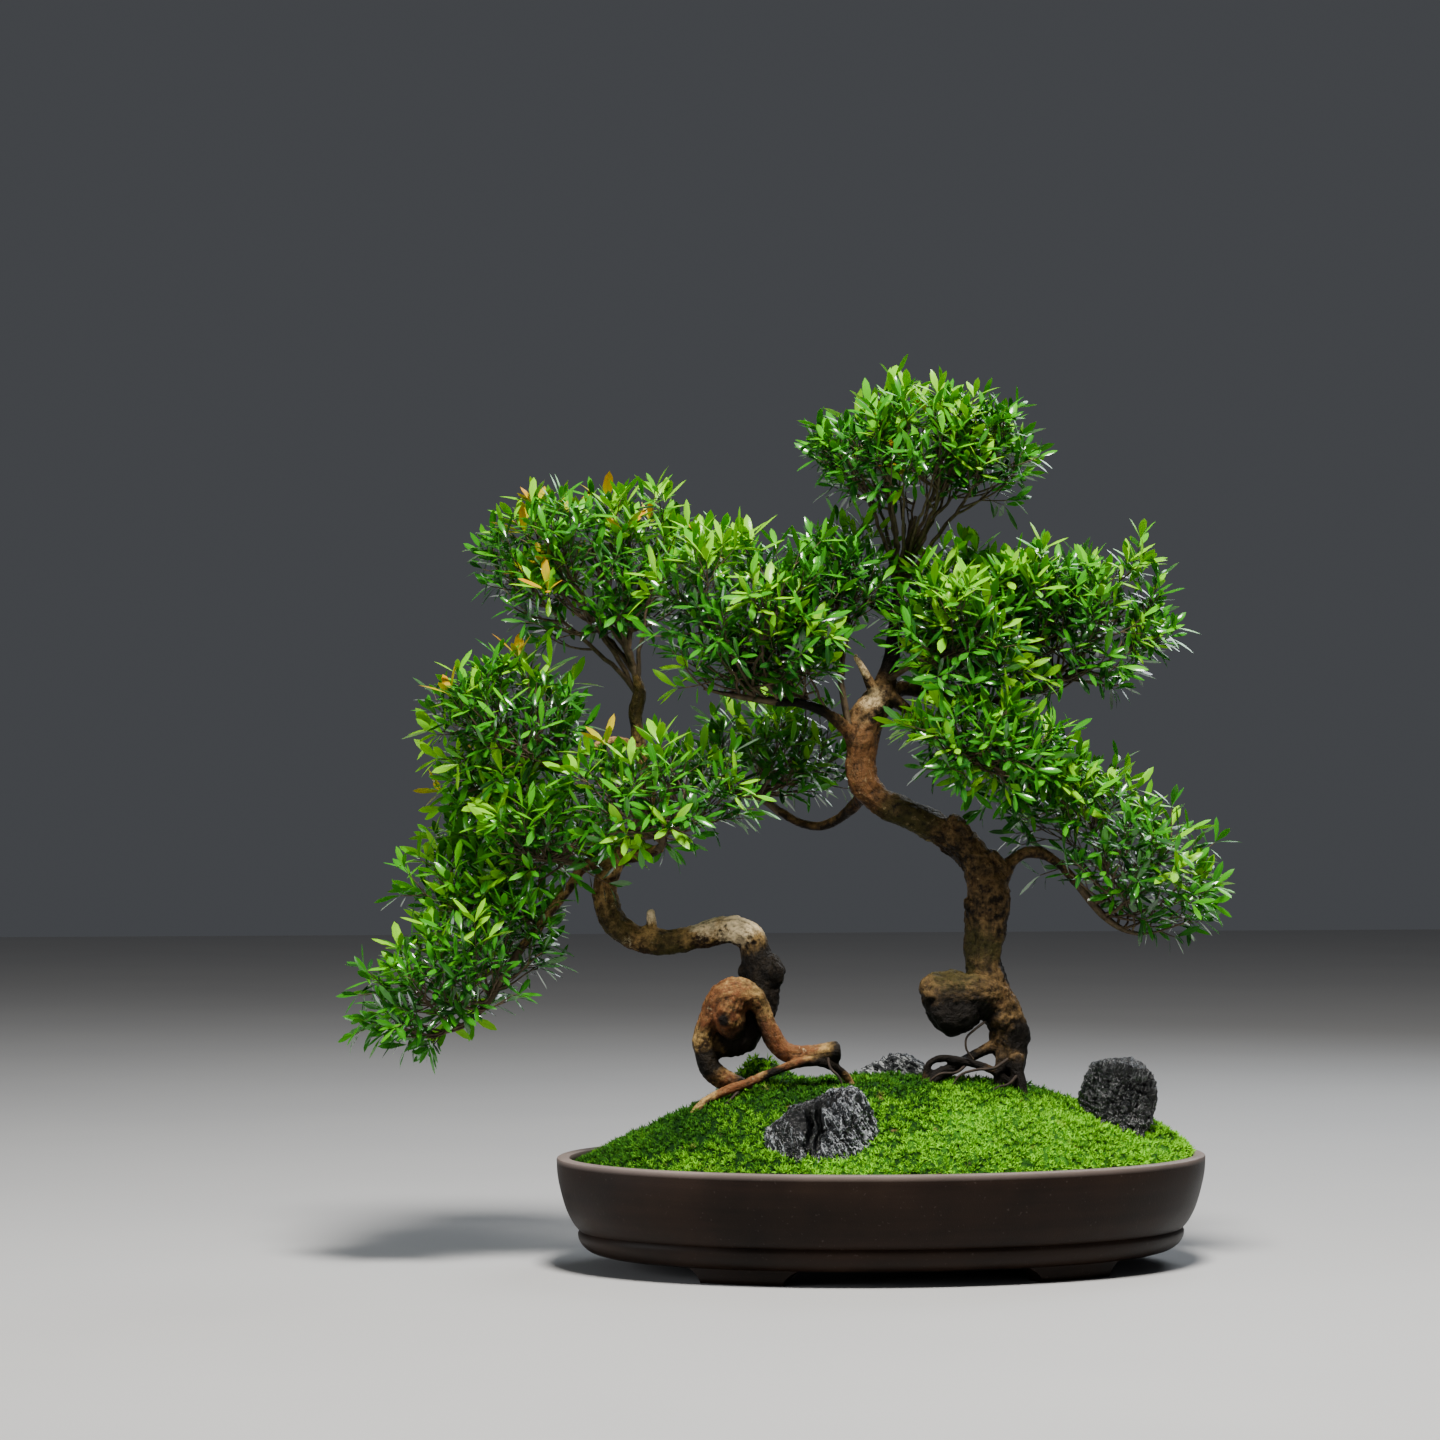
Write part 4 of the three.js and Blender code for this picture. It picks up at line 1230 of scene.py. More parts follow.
@dataclass(frozen=True)
class WoodyFrame:
    """A tree's trunk with its roots and main branches, as one carved skin."""

    node: str
    limbs: dict[str, tuple[Station, ...]]
    finish: Bark
    patches: dict[str, tuple[Station, ...]]  # round patches of the skin that look different, by their kind
    knots: tuple[Knot, ...] = ()
    voxel: float = 1.4
    softening: tuple[float, int] = (0.5, 4)  # how strongly and how often the merged skin is smoothed
    sides: int = 22
    step: float = 3.0
    end_round: tuple[float, float] = (0.30, 0.55)  # how far a limb's rounded end stands out, and its size
    kinds: tuple[str, ...] = ("rusty", "mossy", "bare", "dark")

    def build(self, carve: Recipe, place: Matrix) -> bpy.types.Object:
        """Makes the skin.

        Args:
            carve: The tree that carves the bark.
            place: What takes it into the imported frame.

        Returns:
            The finished piece.
        """
        guide = self._sweeps().build(f"{self.node}_guide")
        raw = add_object(f"{self.node}_raw", guide.data.copy())
        merge = raw.modifiers.new("merge", "REMESH")
        merge.mode, merge.voxel_size, merge.use_smooth_shade = "VOXEL", self.voxel, True
        soften = raw.modifiers.new("soften", "SMOOTH")
        soften.factor, soften.iterations = self.softening
        carve.add_to(raw, {"Guide": guide, "Finish": self.finish.material()})
        skin = settle(raw, f"{self.node}_wood", Matrix())
        bpy.data.objects.remove(guide)
        self._mark(skin.data)
        skin.data.transform(place)
        skin.data.shade_smooth()
        return register(skin, "bark", self.node)

    def _sweeps(self) -> Shape:
        """The limbs as closed tubes that overlap.

        Returns:
            The tubes, with the way the grain runs and the limb's radius at each point.
        """
        shape = Shape()
        for order, stations in enumerate(self.limbs.values()):
            self._sweep(shape, smooth_line(stations, self.step), order * 170.0)
        return shape

    def _sweep(self, shape: Shape, line: Line, offset: float) -> None:
        """Adds one limb.

        Args:
            shape: What the tube is added to.
            line: The limb's points and radii.
            offset: Where its grain starts.
        """
        (start, first_radius), (end, last_radius) = line[0], line[-1]
        first = (line[1][0] - start).normalized()
        last = (end - line[-2][0]).normalized()
        out_by, size = self.end_round
        stretched = [
            (start - first * first_radius * out_by, first_radius * size),
            *line,
            (end + last * last_radius * out_by, last_radius * size),
        ]
        rings, across, travelled = [], first.orthogonal().normalized(), offset
        for i, (point, radius) in enumerate(stretched):
            before = stretched[max(i - 1, 0)][0]
            after = stretched[min(i + 1, len(stretched) - 1)][0]
            axis = (after - before).normalized()
            across = side_of(axis, across)
            over = axis.cross(across)
            travelled += (point - before).length
            ring = []
            for j in range(self.sides):
                turn = 2.0 * math.pi * j / self.sides
                flute = 1.0 + 0.055 * math.sin(2.0 * turn + travelled * 0.03)
                flute += 0.045 * math.sin(3.0 * turn - travelled * 0.05)
                out = across * math.cos(turn) + over * math.sin(turn)
                ring.append(point + out * radius * flute)
                grain = (travelled, radius * math.cos(turn), radius * math.sin(turn))
                shape.note(grain=grain, girth=radius)
            rings.append(ring)
        loft(shape, rings)

    def _mark(self, mesh: bpy.types.Mesh) -> None:
        """Sinks the scars, and stores how far each kind of patch covers each point.

        Args:
            mesh: The skin, in millimetres.
        """
        count = len(mesh.vertices)
        spots, normals = np.empty(count * 3), np.empty(count * 3)
        mesh.vertices.foreach_get("co", spots)
        mesh.vertex_normals.foreach_get("vector", normals)
        spots, normals = spots.reshape(-1, 3), normals.reshape(-1, 3)
        shift = np.zeros(count)
        warped = spots + 1.3 * np.sin(spots[:, [1, 2, 0]] * 0.8)
        for knot in self.knots:
            away = np.linalg.norm(warped - np.array(knot.at), axis=1) / knot.reach
            rim = 0.9 * np.exp(-(((away - 1.0) / 0.30) ** 2))
            shift += knot.depth * (rim - 1.1 * np.exp(-((away / 0.62) ** 2)))
        mesh.vertices.foreach_set("co", (spots + normals * shift[:, None]).ravel())
        for kind in self.kinds:
            cover = np.zeros(count)
            for *at, reach in self.patches.get(kind, ()):
                away = np.linalg.norm(spots - np.array(at), axis=1) / reach
                cover = np.maximum(cover, np.clip(1.35 - away, 0.0, 1.0))
            add_layer(mesh, kind, cover)


def carving() -> Recipe:
    """The tree that carves bark into a merged skin, along the grain of its guide.

    Returns:
        The tree, whose result keeps the grain and how far each point stands out.
    """
    recipe = Recipe("carve_bark", {"Guide": "Object", "Finish": "Material"})
    guide, spot = recipe.thing("Guide"), recipe.value("GeometryNodeInputPosition")

    def sampled(name: str, kind: str) -> Term:
        """An attribute of the guide's nearest point."""
        sockets = {"Mesh": guide, "Value": recipe.named(name, kind), "Sample Position": spot}
        return recipe.value("GeometryNodeSampleNearestSurface", {"data_type": kind}, sockets)

    grain, girth = sampled("grain", "FLOAT_VECTOR"), sampled("girth", "FLOAT")
    plates = recipe.noise(recipe.stretched(grain, (0.11, 0.24, 0.24)), 1.0, 4.0, 0.62)
    strands = recipe.noise(recipe.stretched(grain, (0.030, 0.17, 0.17)), 1.0, 2.0)
    lumps = recipe.noise(spot, 0.052, 2.0, 0.5)
    pits = recipe.noise(spot, 0.30, 3.0, 0.6)
    crack = (1.0 - (strands - 0.5).size().share(0.0, 0.04)) * plates.share(0.42, 0.62)
    relief = plates * 0.45 + strands * 0.20 + pits * 0.35 - crack * 0.14
    height = (relief - 0.5) * RELIEF_HEIGHT + (lumps - 0.5) * LUMP_HEIGHT
    offset = recipe.scaled(recipe.value("GeometryNodeInputNormal"), height * girth.share(0.0, FULL_GIRTH))
    kept = recipe.store(recipe.given("Geometry"), "grain", grain, "FLOAT_VECTOR")
    recipe.deliver(recipe.moved(recipe.store(kept, "relief", relief), offset))
    return recipe


@dataclass(frozen=True)
class Grower:
    """What every spray is made with."""

    leaf: bpy.types.Object
    green: bpy.types.Material
    bark: bpy.types.Material
    round_twigs: Recipe
    set_leaves: Recipe


def add_twig(twigs: Shape, line: Line) -> None:
    """Adds one twig's centre line, with its thickness at each point.

    Args:
        twigs: What the line is added to.
        line: The twig's points and radii.
    """
    start = len(twigs.points)
    for point, radius in line:
        twigs.points.append(point)
        twigs.note(thick=radius)
    twigs.edges.extend((start + i, start + i + 1) for i in range(len(line) - 1))


class Habit(Enum):
    """How a spray's shoots grow: how far they lift at their tips, and how far they sag before."""

    CROWN = (0.75, 0.0)  # they rise, and end in new growth
    SPREAD = (0.35, 0.05)  # they fan out level
    WEEP = (0.15, 0.5)  # they hang down and curl up at their tips


@dataclass
class Growth:
    """A spray while it is laid out."""

    rng: random.Random  # what makes the choices
    twigs: Shape = field(default_factory=Shape)  # the twigs' centre lines
    leaves: Shape = field(default_factory=Shape)  # a point for each leaf, with where it heads and faces


@dataclass(frozen=True)
class Spray:
    """A leafy spray: twigs that fork from a stem, with leaves in crossed pairs."""

    node: str
    centre: Point
    half: Point
    stem: tuple[Station, ...]
    shoots: int
    seed: int
    tilt: float = 0.0
    habit: Habit = Habit.CROWN
    fork: tuple[float, float] = (0.30, 0.97)  # the part of the stem that its boughs fork from
    young: float = 0.5  # how young its leaves are
    leaders: float = 0.28  # the share of shoots that end in new growth
    bronze: float = 0.0  # the share of the new growth that is bronze
    lowest: float = -0.80  # how far down its shoots end, from -1 to 1
    segment: float = 5.0  # the length of one step of a twig, about
    shoot_length: float = 38.0  # what a shoot takes where it can
    side_length: tuple[float, float] = (13.0, 27.0)  # of the side shoots
    pair_gap: float = 7.4
    missing: float = 0.10  # the share of the paired leaves that have dropped
    leaf_length: tuple[float, float] = (13.5, 20.5)
    leaf_breadth: tuple[float, float] = (0.104, 0.128)  # half a leaf's width, to its length
    pair_spread: tuple[float, float] = (48.0, 80.0)  # degrees between a twig and its paired leaves
    tip_spread: tuple[float, float] = (26.0, 52.0)  # degrees between a twig and the leaves at its tip

    def build(self, grower: Grower, place: Matrix) -> None:
        """Makes the twigs and the leaves.

        Args:
            grower: What they are made with.
            place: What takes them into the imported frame.
        """
        growth = self._grow()
        raw = growth.twigs.build(f"{self.node}_twigs_raw")
        grower.round_twigs.add_to(raw, {"Sides": 4, "Finish": grower.bark})
        register(settle(raw, f"{self.node}_twigs", place), "bark")
        raw = growth.leaves.build(f"{self.node}_leaves_raw")
        grower.set_leaves.add_to(raw, {"Leaf": grower.leaf, "Finish": grower.green})
        nodes = (self.node,) if self.node.endswith("_spray") else ()
        register(settle(raw, f"{self.node}_leaves", place), "leaf", *nodes)

    def _grow(self) -> Growth:
        """Lays out the spray.

        Returns:
            Its twigs and leaves.
        """
        growth = Growth(random.Random(self.seed))
        rng = growth.rng
        bare = smooth_line(self.stem, 4.0)
        stem = [(at, radius * (1.0 - 0.5 * (i / len(bare)) ** 2)) for i, (at, radius) in enumerate(bare)]
        add_twig(growth.twigs, stem)
        lean = Matrix.Rotation(math.radians(-self.tilt), 3, "Y")
        boughs = self._boughs(growth, stem, lean)
        for k in range(self.shoots):
            rise = 1.0 - (k + 0.5) / self.shoots * (1.0 - self.lowest)
            towards = heading_of(rise, k * GOLDEN_TURN + rng.uniform(-0.3, 0.3))
            reach = rng.uniform(0.90, 1.0) if rng.random() < 0.64 else rng.uniform(0.45, 0.85)
            spare = (7.0, 7.0, 13.0 if rise > 0.0 else 4.0)
            local = Vector(towards[i] * max(self.half[i] - spare[i], 6.0) * reach for i in range(3))
            tip = Vector(self.centre) + lean @ local + scattered(rng, 4.0)
            self._shoot(growth, boughs, tip, (lean @ towards).normalized(), rise * reach)
        return growth

    def _boughs(self, growth: Growth, stem: Line, lean: Matrix) -> list[Line]:
        """Adds the few stronger twigs that the shoots fork from.

        Args:
            growth: What they are added to.
            stem: The stem's line.
            lean: The spray's tilt.

        Returns:
            The boughs' lines, the stem's end among them.
        """
        rng, centre = growth.rng, Vector(self.centre)
        found = [stem[len(stem) // 2 :]]
        count = max(5, self.shoots // 8)
        for k in range(count):
            towards = heading_of(0.9 - 1.45 * (k + 0.5) / count, k * GOLDEN_TURN + 0.7)
            end = centre + lean @ Vector(towards[i] * self.half[i] * 0.60 for i in range(3))
            begin, radius = stem[int(len(stem) * rng.uniform(*self.fork))]
            along = (stem[-1][0] - stem[-5 if len(stem) > 4 else 0][0]).normalized()
            straight, span = (end - begin).normalized(), (end - begin).length
            leave = (along * 0.8 + straight) * span * 0.6
            arrive = (straight + UP * 0.45) * span * 0.7
            steps = max(4, round(span / self.segment))
            line = []
            for i in range(steps + 1):
                share = i / steps
                wander = scattered(rng, 1.0) * (0.9 if 0 < i < steps else 0.0)
                thick = min(radius * 0.55, 2.0) * (1.0 - 0.62 * share)
                line.append((hermite(begin, end, leave, arrive, share) + wander, thick))
            add_twig(growth.twigs, line)
            found.append(line)
        return found

    def _shoot(
        self, growth: Growth, boughs: Sequence[Line], tip: Vector, towards: Vector, rise: float
    ) -> None:
        """Adds one shoot with its side shoots and leaves.

        Args:
            growth: What it is added to.
            boughs: What it may fork from.
            tip: Where it ends; new growth goes on a little further.
            towards: Away from the spray's middle there.
            rise: How high in the spray it ends, from -1 to 1.
        """
        rng = growth.rng
        inner = [(point, radius) for line in boughs for point, radius in line[1:]]
        wanted = (towards * 0.7 + UP * 0.7).normalized()
        leads = rng.random() < self.leaders * (0.35 + 0.9 * max(rise, 0.0))
        # higher shoots get younger, brighter leaves: partly new growth at the top, partly a painted highlight
        # on the spray's top
        new = 1.0 if leads else clamp(self.young * 0.4 + 0.25 * rise + rng.uniform(-0.25, 0.25))
        tinted = leads and rng.random() < self.bronze * (1.5 if towards.x < 0.1 else 0.5)
        if leads:
            tip = tip + (towards + UP).normalized() * rng.uniform(3.0, 10.0)

        def strain(fork: tuple[Vector, float]) -> float:
            """How ill a shoot from this fork would lie."""
            way = tip - fork[0]
            return abs(way.length - self.shoot_length) + 30.0 * (1.0 - way.normalized().dot(wanted))

        begin, radius = min(inner, key=strain)
        straight, span = (tip - begin).normalized(), (tip - begin).length
        lift, sag = self.habit.value
        leave = (straight + towards * 0.3 - UP * sag) * span
        arrive = (straight * 0.8 + towards * 0.45 + UP * lift).normalized() * span * 0.95
        steps = max(4, round(span / self.segment))
        thick = min(radius * 0.75, 0.95)
        line = []
        for i in range(steps + 1):
            line.append((hermite(begin, tip, leave, arrive, i / steps), thick * (1.0 - 0.5 * i / steps)))
        add_twig(growth.twigs, line)
        self._leafy(growth, line, 0.45 if rise > -0.2 else 0.7, new, tinted)
        for _ in range(rng.choice((1, 2, 2)) if rise > -0.2 else 1):
            branch = self._side_shoot(rng, line, towards)
            add_twig(growth.twigs, branch)
            self._leafy(growth, branch, 0.22, min(new * 0.6 + rng.uniform(-0.1, 0.15), 1.0), False)

    def _side_shoot(self, rng: random.Random, line: Line, towards: Vector) -> Line:
        """The line of a short shoot that forks from another.

        Args:
            rng: What makes the choices.
            line: The shoot that it forks from.
            towards: Away from the spray's middle.

        Returns:
            Its points and radii.
        """
        index = max(1, int(rng.uniform(0.30, 0.85) * (len(line) - 1)))
        point, _ = line[index]
        axis = (point - line[index - 1][0]).normalized()
        side = side_of(axis, scattered(rng, 1.0))
        length = rng.uniform(*self.side_length)
        lift, _ = self.habit.value
        heading = (axis * 0.9 + side * 0.8 + UP * 0.3 * lift + towards * 0.25).normalized()
        if abs((point + heading * length).z - self.centre[2]) > self.half[2] + 8.0:
            length *= 0.5
        found = []
        for i in range(5):
            rising = UP * length * 0.12 * lift * (i / 4) ** 2
            found.append((point + heading * length * i / 4 + rising, 0.50 - 0.05 * i))
        return found

    def _leafy(self, growth: Growth, line: Line, bare: float, new: float, tinted: bool) -> None:
        """Sets crossed pairs of leaves along a twig, and a fan of young ones at its tip.

        Args:
            growth: What the leaves are added to.
            line: The twig's points and radii.
            bare: How much of its start has no leaves.
            new: How young its leaves are, from 0 to 1.
            tinted: Whether its tip is bronze.
        """
        rng = growth.rng
        points = [point for point, _ in line]
        last = len(points) - 1
        length = sum((b - a).length for a, b in zip(points, points[1:]))
        count = max(1, int(length * (1.0 - bare) / self.pair_gap))
        spin = rng.uniform(0.0, math.pi)
        for k in range(count):
            share = bare + (1.0 - bare) * (k + 0.4) / count
            index = min(int(share * last), last - 1)
            point = points[index].lerp(points[index + 1], share * last - index)
            axis = (points[index + 1] - points[index]).normalized()
            for half_turn in (0.0, math.pi):
                if rng.random() < self.missing:
                    continue
                turn = spin + k * math.pi / 2 + half_turn + rng.uniform(-0.3, 0.3)
                self._leaf(growth, point, axis, turned_about(axis, turn), share, new, False)
        axis = (points[-1] - points[-2]).normalized()
        for k in range(4 if new > 0.8 else 3):
            turn = spin + k * (math.pi / 2 if new > 0.8 else 2.1) + rng.uniform(-0.3, 0.3)
            radial = turned_about(axis, turn)
            self._leaf(growth, points[-1], axis, radial, 1.15, min(new + 0.2, 1.0), tinted)

    def _leaf(
        self,
        growth: Growth,
        point: Vector,
        axis: Vector,
        radial: Vector,
        share: float,
        new: float,
        tinted: bool,
    ) -> None:
        """Adds one leaf.

        Args:
            growth: What it is added to.
            point: Where it is attached.
            axis: The way that its twig runs.
            radial: Away from the twig.
            share: How far along its twig it is; past 1 at the tip.
            new: How young it is, from 0 to 1.
            tinted: Whether it is bronze.
        """
        rng = growth.rng
        open_turn = math.radians(rng.uniform(*(self.tip_spread if share > 1.0 else self.pair_spread)))
        heading = axis * math.cos(open_turn) + radial * math.sin(open_turn)
        facing = side_of(heading, axis + UP * 0.7 - radial * 0.2)
        length = rng.uniform(*self.leaf_length) * (1.0 + 0.28 * new * new * share)
        broad = rng.uniform(*self.leaf_breadth) + 0.018 * new
        growth.leaves.points.append(point + radial * 0.3)
        growth.leaves.note(
            heading=tuple(heading),
            facing=tuple(facing),
            size=(length, length * broad, length),
            age=clamp(new * (0.7 + 0.3 * share) + rng.uniform(-0.16, 0.16)),
            bronze=rng.uniform(0.55, 1.0) if tinted else 0.0,
        )


def twig_recipe() -> Recipe:
    """The tree that gives centre lines their round section.

    Returns:
        The tree.
    """
    recipe = Recipe("round_twigs", {"Sides": "Int", "Finish": "Material"})
    curve = recipe.value("GeometryNodeMeshToCurve", {}, {0: recipe.given("Geometry")})
    sockets = {"Resolution": recipe.given("Sides"), "Radius": 1.0}
    ring = recipe.value("GeometryNodeCurvePrimitiveCircle", {}, sockets)
    sockets = {"Curve": curve, "Profile Curve": ring, "Scale": recipe.named("thick"), "Fill Caps": True}
    recipe.deliver(recipe.value("GeometryNodeCurveToMesh", {}, sockets))
    return recipe


def leaf_recipe() -> Recipe:
    """The tree that sets a leaf on each point, turned and sized as the point says.

    Returns:
        The tree.
    """
    recipe = Recipe("set_leaves", {"Leaf": "Object", "Finish": "Material"})
    heading, facing, size = (recipe.named(name, "FLOAT_VECTOR") for name in ("heading", "facing", "size"))
    axes = {"primary_axis": "X", "secondary_axis": "Z"}
    turned = recipe.value("FunctionNodeAxesToRotation", axes, {0: heading, 1: facing})
    recipe.plant(recipe.given("Geometry"), "Leaf", turned, size)
    return recipe


@dataclass(frozen=True)
class Leaf:
    """One narrow leaf of unit length, widest past its middle, ridged along its rib and curved back."""

    stations: tuple[tuple[float, float], ...] = ((0.22, 0.45), (0.54, 1.0), (0.82, 0.76))
    fold: float = 0.045  # how far the rib stands over the margins, to the leaf's length
    curl: float = 0.12  # how far the tip bends back
    crease: float = 15.0  # degrees, past which an edge is sharp

    def build(self) -> bpy.types.Object:
        """Makes the leaf, along X and facing up Z, with its half width as one.

        Returns:
            The leaf.
        """
        shape = Shape()
        self._point(shape, 0.0, 0.0)
        for along, wide in self.stations:
            for across in (wide, 0.0, -wide):
                self._point(shape, along, across)
        self._point(shape, 1.0, 0.0)
        last = len(shape.points) - 1
        for j in range(3):
            following = (j + 1) % 3
            shape.faces.append((0, 1 + following, 1 + j))
            for i in range(len(self.stations) - 1):
                a, b = 1 + 3 * i + j, 1 + 3 * i + following
                shape.faces.append((a, b, b + 3, a + 3))
            start = 1 + 3 * (len(self.stations) - 1)
            shape.faces.append((start + j, start + following, last))
        made = shape.build("leaf")
        made.data.set_sharp_from_angle(angle=math.radians(self.crease))
        return made

    def _point(self, shape: Shape, along: float, wide: float) -> None:
        """Adds a point of the leaf.

        Args:
            shape: What the point is added to.
            along: Its share of the leaf's length.
            wide: Its share of the half width; below 0 on the other side of the rib.
        """
        rib = self.fold * (1.0 - abs(wide)) * math.sin(math.pi * along)
        shape.points.append((along, wide, rib - self.curl * along * along))
        shape.note(blade=(along, wide, 0.0))


# The whole planting


LEFT_LIMBS: dict[str, tuple[Station, ...]] = {
    "trunk": (
        (-121, -32, 150, 6), (-113, -26, 157, 11), (-103, -20, 165, 16.6), (-93, -17, 177, 15.5),
        (-86, -15, 190, 12.6), (-85, -14, 203, 11.8), (-88, -13, 217, 11.4), (-92, -12, 231, 10.8),
        (-103, -12, 237, 10.5), (-121, -12, 234, 9.2), (-141, -12, 229, 9), (-159, -14, 228, 9.2),
        (-177, -16, 232, 9.2), (-190, -18, 245, 9), (-194, -18, 262, 8.5), (-190, -16, 280, 7.8),
        (-179, -12, 294, 7), (-169, -8, 310, 6.5), (-165, -5, 331, 5.8), (-168, -3, 352, 5.4),
        (-172, 0, 371, 5), (-174, 2, 389, 5), (-171, 4, 404, 5), (-174, 5, 416, 3.6),
    ),
    "loop": (
        (-92, -28, 126, 5), (-105, -31, 130, 7), (-117, -34, 137, 8), (-124, -35, 149, 7.6),
        (-124.5, -36, 163, 7.6), (-119, -37, 177, 9.4), (-112, -38, 187, 11.6), (-102, -38, 191, 12.6),
        (-92, -38, 191, 9.8), (-86, -37, 185, 7.4), (-82, -36, 174, 6.8), (-77, -34, 163, 6.8),
        (-69, -33, 153, 6.8), (-55, -32, 150, 6.3), (-42, -31, 151, 6.6), (-31, -30, 152, 7),
    ),
    "surface_root": (
        (-132, -46, 108, 3), (-124, -46, 117, 3.2), (-112, -46, 124, 3.4), (-94, -46, 131, 3.4),
        (-75, -44, 139, 3.4), (-57, -40, 145, 3.6), (-44, -36, 145, 3.4), (-33, -31, 141, 3.2),
        (-24, -27, 133, 3), (-18, -24, 122, 2.6),
    ),
    "stub": ((-161, -14, 230, 3.8), (-162.5, -15, 250, 2.9)),
    "knot": ((-84, -14, 214, 11), (-79, -16, 205, 10), (-80, -17, 196, 7)),
    "knob": ((-88, -12, 206, 8), (-100, -10, 207, 4.5)),
    "knuckle": ((-108, -40, 190, 12), (-107, -41, 181, 13.2), (-105, -40, 171, 10.6), (-102, -38, 163, 6)),
    "crag": ((-84, -16, 214, 6), (-74, -18, 208, 5), (-72, -18, 199, 3.4)),
    "cascade_branch": (
        (-190, -16, 276, 6.5), (-202, -18, 283, 4.8), (-211, -20, 279, 4.2), (-218, -22, 268, 3.8),
        (-229, -24, 254, 3.5), (-240, -26, 239, 3.2), (-252, -28, 225, 3),
    ),
    "back_branch": ((-195, -16, 280, 5), (-207, -4, 290, 3.4), (-224, 8, 292, 3)),
    "front_branch": ((-184, -14, 287, 5.5), (-169, -24, 289, 4.4), (-154, -36, 294, 3.6)),
    "upper_branch": ((-170, -2, 361, 4.5), (-183, -8, 369, 3.4), (-197, -14, 367, 3.2), (-212, -18, 358, 3)),
}

RIGHT_LIMBS: dict[str, tuple[Station, ...]] = {
    "trunk": (
        (96, 0, 106, 4.6), (94, 1, 124, 5.2), (92, 2, 137, 8.8), (90, 2, 148, 12), (89, 2, 158, 13.4),
        (88, 1, 168, 13.2), (83, 0, 179, 14), (78, -1, 189, 14), (75, 0, 198, 13.6), (72, 1, 210, 12.4),
        (72, 2, 225, 12.8), (73, 2, 240, 13.6), (73.5, 2, 251, 15.4), (74, 2, 262, 14.4), (71, 2, 273, 14),
        (65, 2, 285, 13.4), (57, 2, 295, 12.4), (46, 2, 303, 11.8), (28, 0, 314, 10.8), (10, -2, 321, 10.4),
        (-5, -4, 330, 10.2), (-14, -6, 341, 9.8), (-15.5, -6, 353, 9.8), (-14, -6, 366, 10.6),
        (-12, -5, 378, 11), (-8, -4, 389, 11.8), (-2, -2, 399, 10.6), (4, 0, 414, 6.8), (8, 3, 437, 5.6),
        (10, 5, 456, 5.2), (11, 6, 470, 4.8),
    ),
    "burl": (
        (84, -1, 189, 13), (74, -3, 189, 16), (61, -7, 190, 17), (47, -9, 192, 16.4), (36, -10, 195, 12.6),
        (28, -10, 197, 6.5),
    ),
    "burl_belly": ((62, -7, 188, 16), (50, -9, 182, 17.5), (49, -9, 174, 13.5), (52, -9, 165, 6)),
    "long_root": (
        (88, 0, 160, 7), (79, -3, 155, 4.6), (68, -6, 150, 3.6), (60, -8, 146, 3.8), (49, -12, 139, 4.2),
        (39, -15, 135, 4.8), (30, -18, 124, 4.4),
    ),
    "arched_root": (
        (29, -19, 121, 2.4), (30.5, -18, 135, 2.5), (33, -17, 143, 2.6), (41, -16, 146.5, 2.7),
        (52, -15, 145.5, 2.8), (62, -14, 143, 2.8), (73, -13, 140, 2.8), (84, -12, 134, 2.6),
        (93, -9, 126, 2.6),
    ),
    "left_foot": ((86, -5, 152, 6.5), (83, -9, 140, 3.6), (80, -14, 118, 3.2)),
    "front_foot": ((93, -6, 146, 7.5), (96, -12, 134, 4.4), (101, -18, 114, 3.4)),
    "back_foot": ((92, 8, 148, 7.5), (96, 16, 134, 4.6), (103, 24, 114, 3.4)),
    "low_branch": (
        (76, 2, 262, 9), (84, 2, 274, 6), (91, 3, 284, 4.6), (100, 4, 290, 4.2), (112, 5, 290, 4.2),
        (124, 7, 283, 3.6), (138, 9, 268, 3.2),
    ),
    "left_branch": (
        (-14, -6, 363, 7), (-25, -13, 377, 4.6), (-38, -22, 388, 4), (-56, -32, 395, 3.6),
        (-74, -40, 396, 3.2),
    ),
    "back_branch": (
        (-9, 2, 338, 7), (-17, 24, 326, 4.6), (-30, 44, 314, 3.8), (-46, 57, 308, 3.4), (-61, 62, 311, 3.2),
        (-74, 64, 319, 3),
    ),
    "dead_snag": ((-5, -8, 402, 4.6), (-12, -13, 417, 3.2), (-19, -17, 429, 2.2)),
    "shoulder_branch": (
        (-1, 0, 402, 7.5), (16, 8, 406, 5), (38, 14, 402, 4.5), (59, 18, 398, 4), (82, 22, 398, 3.6),
        (103, 26, 404, 3.2),
    ),
    "under_branch": ((4, -2, 402, 6), (20, -14, 389, 3.4), (35, -25, 373, 3), (50, -32, 360, 2.8)),
    "inner_branch": ((11, 5, 458, 4.5), (0, 1, 463, 3.2), (-12, -3, 468, 2.8)),
    "burl_core": ((42, -9, 187, 16), (50, -9, 178, 17), (58, -7, 184, 16)),
    "burl_cheek": ((39, -10, 195, 11.5), (42, -10, 185, 12.5), (48, -9, 175, 12)),
    "ridge_scar": ((48, -7, 314, 5), (56, -8, 309, 5), (61, -8, 301, 4)),
    "fork_collar": ((76, -3, 290, 5), (82, 0, 281, 6), (84, 1, 270, 5)),
    "right_node": ((85, 0, 260, 5), (86, 0, 254, 4)),
    "left_node": ((62, -3, 257, 5), (61, -3, 251, 4)),
}

